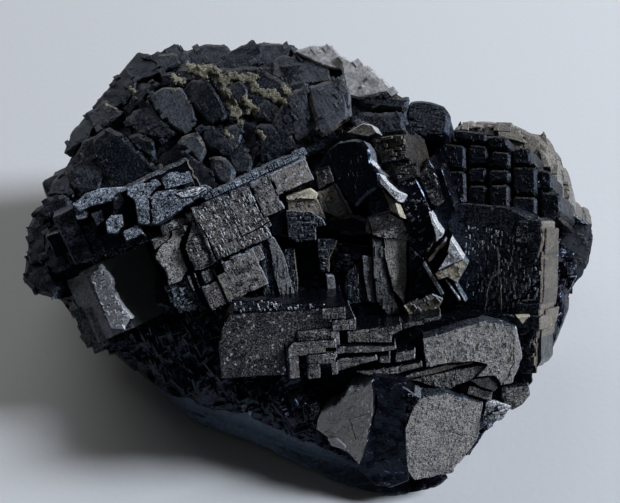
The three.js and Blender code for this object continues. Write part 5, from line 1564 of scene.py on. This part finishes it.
def grow_rubble(settings, carrier):
    """Small near-square cubes standing out of the broken base, laid down along the line of sight."""
    rng = random.Random(settings.seed + 2)
    tree = skin_tree(carrier)
    matrix = in_growth_frame((0, 0, 0), RUBBLE_TURN)
    to_lattice = matrix.inverted()
    eye = GROWTH @ Vector((0, 0, EYE_DISTANCE))
    shapes = []
    for field, count in RUBBLE_FIELDS:
        (left, low), (right, high) = extent(field)
        while count:
            spot = rng.uniform(left, right), rng.uniform(low, high)
            if not inside(field, *spot):
                continue
            count -= 1
            hit = tree.ray_cast(eye, (GROWTH @ Vector((*spot, 0)) - eye).normalized())[0]
            if hit is None:
                continue
            width, height, depth = (RUBBLE_SIZE[0] + rng.random() ** 2 * (RUBBLE_SIZE[1] - RUBBLE_SIZE[0])
                                    for _ in range(3))
            box = rectangle(-width / 2, width / 2, -height / 2, height / 2)
            shape = slab(with_cut_corners(box, RUBBLE_BEVEL), -depth, rng.uniform(*RUBBLE_RISE), RUBBLE_BEVEL,
                         rng.choice(RUBBLE_LOOKS))
            points = turned(shape[0], [rng.uniform(-1, 1) * RUBBLE_TILT for _ in range(3)], Vector())
            shapes.append(((moved(points, to_lattice @ hit), *shape[1:]), rng.random()))
    mesh = combined(shapes, [(table_cut(matrix), MIDDLE_TONE)])
    record_lattice(mesh, RUBBLE_OFFSET)
    mesh.transform(Matrix.Scale(MM, 4) @ matrix)
    return place("broken_cubes", mesh, smooth=True)


# ---------- the crust ----------
# Strips of dried clay on the dome, as the eye sees them on the plane w = 0: both ends, half a width and how
# many crumbs.
CRUST_STRIPS = (
    ((-20.6, 30.6), (-15.2, 30.4), 0.9, 150), ((-18.8, 30), (-13.8, 28.6), 1.2, 130),
    ((-23, 29.6), (-20.8, 27.6), 0.7, 50),
    ((-14.6, 29.4), (-9, 29), 0.7, 90), ((-14.4, 28.4), (-13.4, 24.6), 0.8, 90),
    ((-13.2, 24.8), (-11.6, 21.6), 0.9, 90),
    ((-11, 25.4), (-9.4, 23), 0.8, 60), ((-9.8, 28.4), (-8.8, 27), 0.6, 30),
    ((-9, 26.6), (-6.2, 26.4), 0.6, 60),
    ((-6.8, 25.8), (-4.4, 24.6), 0.8, 60), ((-4.6, 27.4), (-3.4, 26.6), 0.6, 30),
    ((-30, 27.4), (-28.8, 26.2), 0.5, 20),
    ((-34, 24.4), (-32.4, 23.6), 0.4, 14), ((-25.4, 14.2), (-24.4, 13.2), 0.4, 10),
    ((-14.4, 21), (-13, 18.4), 0.3, 22),
    ((-9, 20.6), (-7.6, 19), 0.3, 14),
)


CRUMB_SCATTER, CRUST_CLOUD, CRUST_LUMPS = 0.5, 2, ((0.8, 0.14), (0.4, 0.1))
FLAKE_SHARE, FLAKE_SIZE, GRAIN_SIZE, GRAIN_LIFT = 0.22, (2.4, 3.6), (0.6, 1.5), (-0.4, 0.3)
UNEVEN_CORNER, GRAIN_THICKNESS, LARGE_GRAIN, SMALL_FLATTENING = (0.6, 1.3), 0.3, 0.5, 0.3


def grow_crust(settings, carriers):
    """Crumbs of clay dropped onto the dome along the line of sight, and grown together."""
    rng = random.Random(settings.seed)
    trees = [skin_tree(carrier) for carrier in carriers]
    eye = GROWTH @ Vector((0, 0, EYE_DISTANCE))
    points, faces = [], []
    for start, end, width, grains in CRUST_STRIPS:
        for _ in range(grains):
            middle = Vector(start).lerp(Vector(end), rng.random())
            aside, above = rng.gauss(0, CRUMB_SCATTER) * width, rng.gauss(0, CRUMB_SCATTER) * width
            aim = GROWTH @ Vector((middle.x + aside, middle.y + above, 0))
            hits = [tree.ray_cast(eye, (aim - eye).normalized()) for tree in trees]
            hits = [hit for hit in hits if hit[0] is not None]
            if not hits:
                continue
            spot, normal = min(hits, key=lambda hit: hit[3])[:2]
            size = settings.grain * rng.uniform(*(FLAKE_SIZE if rng.random() < FLAKE_SHARE else GRAIN_SIZE))
            sunk = spot + normal * settings.grain * rng.uniform(*GRAIN_LIFT)
            add_grain(points, faces, sunk, normal, size, rng)
    mesh = bpy.data.meshes.new("crust")
    mesh.from_pydata(points, [], faces)
    mesh.polygons.foreach_set("material_index", [CLAY] * len(faces))
    set_cloudy_tone(mesh, CRUST_CLOUD)
    mesh = remeshed(mesh, settings.voxel, 1)
    weathered(mesh, CRUST_LUMPS)
    record_lattice(mesh, CRUST_OFFSET)
    mesh.transform(Matrix.Scale(MM, 4))
    return place("pale_crust", mesh, smooth=True)


OCTAHEDRON = ((1, 0, 0), (-1, 0, 0), (0, 1, 0), (0, -1, 0), (0, 0, 1), (0, 0, -1))
OCTAHEDRON_FACES = ((0, 2, 4), (2, 1, 4), (1, 3, 4), (3, 0, 4), (2, 0, 5), (1, 2, 5), (3, 1, 5), (0, 3, 5))


def add_grain(points, faces, centre, normal, size, rng):
    """One crumb: an uneven octahedron turned at random and lying flat on the surface."""
    spin = Euler([rng.uniform(0, 2 * math.pi) for _ in range(3)]).to_matrix()
    flattening = 1 - GRAIN_THICKNESS / size if size > LARGE_GRAIN else SMALL_FLATTENING
    first = len(points)
    for corner in OCTAHEDRON:
        reach = spin @ (Vector(corner) * size * rng.uniform(*UNEVEN_CORNER))
        points.append(tuple(centre + reach - normal * reach.dot(normal) * flattening))
    faces += [tuple(first + i for i in face) for face in OCTAHEDRON_FACES]


# ---------- settings ----------
class CrystalSettings(PropertyGroup):
    """Sizes that every cluster shares."""
    seed: IntProperty(name="Seed", description="Start of the random draws", default=7)
    bevel: FloatProperty(name="Bevel", description="Width of a crystal's bevel in millimetres",
                         default=0.16, min=0.02)
    step_bevel: FloatProperty(name="Step bevel", description="Width of a growth step's bevel in millimetres",
                              default=0.06, min=0.01)
    wobble: FloatProperty(name="Wobble",
                          description="Largest tilt of a crystal against its lattice, in degrees",
                          default=1.1, min=0)
    edge_limit: FloatProperty(name="Edge limit", description="Longest edge left whole, in millimetres",
                              default=1.2, min=0.2)
    wear: FloatProperty(name="Wear", description="How far noise moves a point, in millimetres",
                        default=0.09, min=0)
    depth: FloatProperty(name="Depth", description="How far a crystal reaches back, in millimetres",
                         default=11, min=1)


class DomeSettings(PropertyGroup):
    """Sizes of the dome and of the cubes behind it."""
    seed: IntProperty(name="Seed", description="Start of the random draws", default=11)
    bevel: FloatProperty(name="Bevel", description="Width of a block's bevel in millimetres",
                         default=0.6, min=0.1)
    nibble: FloatProperty(name="Notches",
                          description="Depth of the notches in a block's sides in millimetres",
                          default=0.18, min=0)
    edge_limit: FloatProperty(name="Edge limit", description="Longest edge left whole, in millimetres",
                              default=1.0, min=0.2)
    voxel: FloatProperty(name="Skin size", description="Size of the back's squares in millimetres",
                         default=0.5, min=0.2)
    smoothing: IntProperty(name="Wear", description="How often the skin is smoothed", default=1, min=0)
    lump: FloatProperty(name="Lumps", description="Height of the skin's small lumps in millimetres",
                        default=0.07, min=0)


class MatrixSettings(PropertyGroup):
    """Fineness and roughness of the broken rock."""
    seed: IntProperty(name="Seed", description="Start of the random draws", default=9)
    stations: IntProperty(name="Stations", description="Sections from end to end", default=190, min=20)
    ring_points: IntProperty(name="Ring points", description="Points round each section", default=230, min=24)
    roughness: FloatProperty(name="Roughness", description="Strength of the broken facets",
                             default=1.0, min=0)


class CrustSettings(PropertyGroup):
    """Sizes of the clay crust."""
    seed: IntProperty(name="Seed", description="Start of the random draws", default=5)
    grain: FloatProperty(name="Grain", description="Half the width of a crumb in millimetres",
                         default=0.26, min=0.1)
    voxel: FloatProperty(name="Skin size", description="Size of the skin's squares in millimetres",
                         default=0.18, min=0.08)


class StageSettings(PropertyGroup):
    """The floor and the light."""
    floor: FloatVectorProperty(name="Floor", description="Colour of the paper floor",
                               subtype="COLOR", size=4, min=0, max=1, default=linear("#ced2d7"))
    window: FloatVectorProperty(name="Window colour", description="Colour of the window's light",
                                subtype="COLOR", size=4, min=0, max=1, default=linear("#f4f8ff"))
    window_power: FloatProperty(name="Window power", description="Power of the window's light",
                                default=12.5, min=0, unit="POWER")
    window_width: FloatProperty(name="Window width", description="Width of the window",
                                default=0.24, min=0.05, unit="LENGTH")
    window_height: FloatProperty(name="Window height", description="Height of the window",
                                 default=0.3, min=0.05, unit="LENGTH")
    wall_power: FloatProperty(name="Wall power", description="Power of the light off the pale wall behind",
                              default=9.0, min=0, unit="POWER")
    wall_size: FloatProperty(name="Wall width", description="Width of the lit wall",
                             default=1.6, min=0.05, unit="LENGTH")
    room: FloatVectorProperty(name="Room colour", description="Colour of the light from the room",
                              subtype="COLOR", size=4, min=0, max=1, default=linear("#f0ede8"))
    room_strength: FloatProperty(name="Room strength", description="Strength of the light from the room",
                                 default=0.03, min=0)


# ---------- operators ----------
CLUSTERS = (
    ("ridge", RIDGE), ("ridge_end", RIDGE_END), ("left_block", LEFT_BLOCK), ("front_block", FRONT_BLOCK),
    ("right_block", RIGHT_BLOCK), ("centre_blades", BLADES),
    ("black_crystal", BLACK_CRYSTAL), ("brown_slope", BROWN_SLOPE), ("cream_corner", CREAM_CORNER),
    ("stepped_crystal", STEPPED_CRYSTAL), ("black_block", BLACK_BLOCK), ("brick_columns", BRICKS),
    ("pale_shells", PALE_SHELLS), ("rounded_blocks", ROUNDED_BLOCKS), ("end_block", END_BLOCK),
    ("foot_left", FOOT_LEFT), ("foot_middle", FOOT_MIDDLE), ("foot_right", FOOT_RIGHT),
)


def grow_named(context, *names):
    for number, (name, spec) in enumerate(CLUSTERS):
        if name in names:
            grow_cluster(name, spec, context.scene.fluorite_crystals, number)


class FLUORITE_OT_matrix(Operator):
    """Grow the broken rock under the crystals"""
    bl_idname = "fluorite.matrix"
    bl_label = "Broken Base"

    def execute(self, context):
        base = grow_matrix(context.scene.fluorite_matrix)
        grow_rubble(context.scene.fluorite_matrix, base)
        return {"FINISHED"}


class FLUORITE_OT_dome(Operator):
    """Grow the dome at the upper left and the cubes round the back"""
    bl_idname = "fluorite.dome"
    bl_label = "Dome and Back"

    def execute(self, context):
        grow_dome(context.scene.fluorite_dome)
        grow_back(context.scene.fluorite_dome)
        return {"FINISHED"}


class FLUORITE_OT_ridges(Operator):
    """Grow the long ridge, its stepped end and the left block"""
    bl_idname = "fluorite.ridges"
    bl_label = "Ridge and Left Block"

    def execute(self, context):
        grow_named(context, "ridge", "ridge_end", "left_block")
        return {"FINISHED"}


class FLUORITE_OT_front(Operator):
    """Grow the front block and the right block with their steps"""
    bl_idname = "fluorite.front"
    bl_label = "Front Blocks"

    def execute(self, context):
        grow_named(context, "front_block", "right_block")
        return {"FINISHED"}


class FLUORITE_OT_hollow(Operator):
    """Grow the blades in the hollow and the crystals round it"""
    bl_idname = "fluorite.hollow"
    bl_label = "Blades and Hollow"

    def execute(self, context):
        grow_named(context, "centre_blades", "black_crystal", "brown_slope", "cream_corner",
                   "stepped_crystal")
        return {"FINISHED"}


class FLUORITE_OT_right_side(Operator):
    """Grow the black block, the bricks, the shells and the blocks behind them"""
    bl_idname = "fluorite.right_side"
    bl_label = "Right Side"

    def execute(self, context):
        grow_named(context, "black_block", "brick_columns", "pale_shells", "rounded_blocks", "end_block")
        return {"FINISHED"}


class FLUORITE_OT_foot(Operator):
    """Grow the three-faced block at the foot"""
    bl_idname = "fluorite.foot"
    bl_label = "Foot Block"

    def execute(self, context):
        grow_named(context, "foot_left", "foot_middle", "foot_right")
        return {"FINISHED"}


class FLUORITE_OT_crust(Operator):
    """Scatter the clay crust over the dome"""
    bl_idname = "fluorite.crust"
    bl_label = "Clay Crust"

    def execute(self, context):
        carriers = [obj for name, obj in bpy.data.objects.items() if name in ("front_dome", "rough_base")]
        if len(carriers) < 2:
            raise RuntimeError("the crust needs the dome and the base")
        grow_crust(context.scene.fluorite_crust, carriers)
        return {"FINISHED"}


class FLUORITE_OT_stage(Operator):
    """Set up the floor, the window light, the room and the camera"""
    bl_idname = "fluorite.stage"
    bl_label = "Stage"

    def execute(self, context):
        settings, scene = context.scene.fluorite_stage, context.scene
        set_floor(settings)
        set_light(scene, settings)
        set_camera(scene)
        return {"FINISHED"}


FLOOR_HALF = 2.0
TOOTH_SCALE, TOOTH_HEIGHT, TOOTH_SHADE, PAPER_ROUGHNESS = 900, 0.00003, 0.97, 0.75
WINDOW_FROM, WINDOW_DISTANCE = (0.77, 0.1, 0.62), 1.0
WALL_FROM, WALL_DISTANCE, WALL_SHAPE = (-0.35, 0.85, 0.55), 1.3, 0.6
LIGHT_AIM = Vector((0, 0, 0.02))
NEAREST_SEEN = 0.01


def set_floor(settings):
    """A plain sheet of matt paper, wide enough to fill every view."""
    mesh = bpy.data.meshes.new("floor")
    corners = [(-FLOOR_HALF, -FLOOR_HALF, 0), (FLOOR_HALF, -FLOOR_HALF, 0), (FLOOR_HALF, FLOOR_HALF, 0),
               (-FLOOR_HALF, FLOOR_HALF, 0)]
    mesh.from_pydata(corners, [], [(0, 1, 2, 3)])
    # Paper, calendered: even and matt, with a faint tooth.
    paper = bpy.data.materials.new("paper_calendered")
    paper.use_nodes = True
    tree = paper.node_tree
    shader = tree.nodes["Principled BSDF"]
    place_on = add(tree, "ShaderNodeTexCoord").outputs["Object"]
    tooth = add(tree, "ShaderNodeTexNoise", None,
                {"Vector": place_on, "Scale": TOOTH_SCALE, "Detail": 3}).outputs["Fac"]
    shade = tuple(channel * TOOTH_SHADE for channel in settings.floor[:3]) + (1,)
    tint = add(tree, "ShaderNodeMix", {"data_type": "RGBA"},
               {0: tooth, 6: shade, 7: tuple(settings.floor)}).outputs[2]
    bump = add(tree, "ShaderNodeBump", None,
               {"Height": tooth, "Distance": TOOTH_HEIGHT, "Strength": 1.0}).outputs[0]
    tree.links.new(tint, shader.inputs["Base Color"])
    tree.links.new(bump, shader.inputs["Normal"])
    shader.inputs["Roughness"].default_value = PAPER_ROUGHNESS
    mesh.materials.append(paper)
    floor = bpy.data.objects.new("floor", mesh)
    bpy.context.scene.collection.objects.link(floor)


def hang_lamp(scene, name, direction, distance, size, power, colour):
    """A soft rectangular lamp that points at the specimen."""
    lamp = bpy.data.lights.new(name, "AREA")
    lamp.shape, lamp.size, lamp.size_y = "RECTANGLE", *size
    lamp.energy, lamp.color = power, colour[:3]
    obj = bpy.data.objects.new(name, lamp)
    obj.location = LIGHT_AIM + Vector(direction).normalized() * distance
    obj.rotation_euler = (obj.location - LIGHT_AIM).to_track_quat("Z", "Y").to_euler()
    scene.collection.objects.link(obj)


def set_light(scene, settings):
    """One soft window from the right, a pale wall behind and a dim even room."""
    hang_lamp(scene, "window", WINDOW_FROM, WINDOW_DISTANCE, (settings.window_width, settings.window_height),
              settings.window_power, settings.window)
    hang_lamp(scene, "wall", WALL_FROM, WALL_DISTANCE, (settings.wall_size, settings.wall_size * WALL_SHAPE),
              settings.wall_power, settings.room)
    room = bpy.data.worlds.new("room")
    room.use_nodes = True
    background = room.node_tree.nodes["Background"]
    background.inputs["Color"].default_value = tuple(settings.room)
    background.inputs["Strength"].default_value = settings.room_strength
    scene.world = room
    scene.view_settings.view_transform = "Standard"


def set_camera(scene):
    """Looks straight into the growth frame."""
    data = bpy.data.cameras.new("camera")
    data.lens, data.sensor_width, data.sensor_fit = FOCAL_LENGTH, SENSOR_WIDTH, "HORIZONTAL"
    data.clip_start = NEAREST_SEEN
    camera = bpy.data.objects.new("camera", data)
    eye = (GROWTH @ Vector((0, 0, EYE_DISTANCE))) * MM
    camera.matrix_world = Matrix.Translation(eye) @ GROWTH.to_3x3().to_4x4()
    scene.collection.objects.link(camera)
    scene.camera = camera


OPERATORS = (FLUORITE_OT_matrix, FLUORITE_OT_dome, FLUORITE_OT_ridges, FLUORITE_OT_front, FLUORITE_OT_hollow,
             FLUORITE_OT_right_side, FLUORITE_OT_foot, FLUORITE_OT_crust, FLUORITE_OT_stage)
SETTINGS = {"fluorite_crystals": CrystalSettings, "fluorite_dome": DomeSettings,
            "fluorite_matrix": MatrixSettings, "fluorite_crust": CrustSettings,
            "fluorite_stage": StageSettings}


class FLUORITE_PT_specimen(Panel):
    """Lists the specimen's settings and operators"""
    bl_idname = "FLUORITE_PT_specimen"
    bl_label = "Fluorite Specimen"
    bl_space_type = "VIEW_3D"
    bl_region_type = "UI"
    bl_category = "Fluorite"

    def draw(self, context):
        for group in SETTINGS:
            settings = getattr(context.scene, group)
            box = self.layout.box()
            for name in settings.__annotations__:
                box.prop(settings, name)
        for operator in OPERATORS:
            self.layout.operator(operator.bl_idname)


def register():
    for cls in (*SETTINGS.values(), *OPERATORS, FLUORITE_PT_specimen):
        bpy.utils.register_class(cls)
    for name, cls in SETTINGS.items():
        setattr(bpy.types.Scene, name, PointerProperty(type=cls))


def unregister():
    for name in SETTINGS:
        delattr(bpy.types.Scene, name)
    for cls in (FLUORITE_PT_specimen, *reversed(OPERATORS), *reversed(SETTINGS.values())):
        bpy.utils.unregister_class(cls)


def main():
    register()
    bpy.ops.fluorite.matrix()
    bpy.ops.fluorite.dome()
    bpy.ops.fluorite.ridges()
    bpy.ops.fluorite.front()
    bpy.ops.fluorite.hollow()
    bpy.ops.fluorite.right_side()
    bpy.ops.fluorite.foot()
    bpy.ops.fluorite.crust()
    bpy.ops.fluorite.stage()


if __name__ == "__main__":
    main()
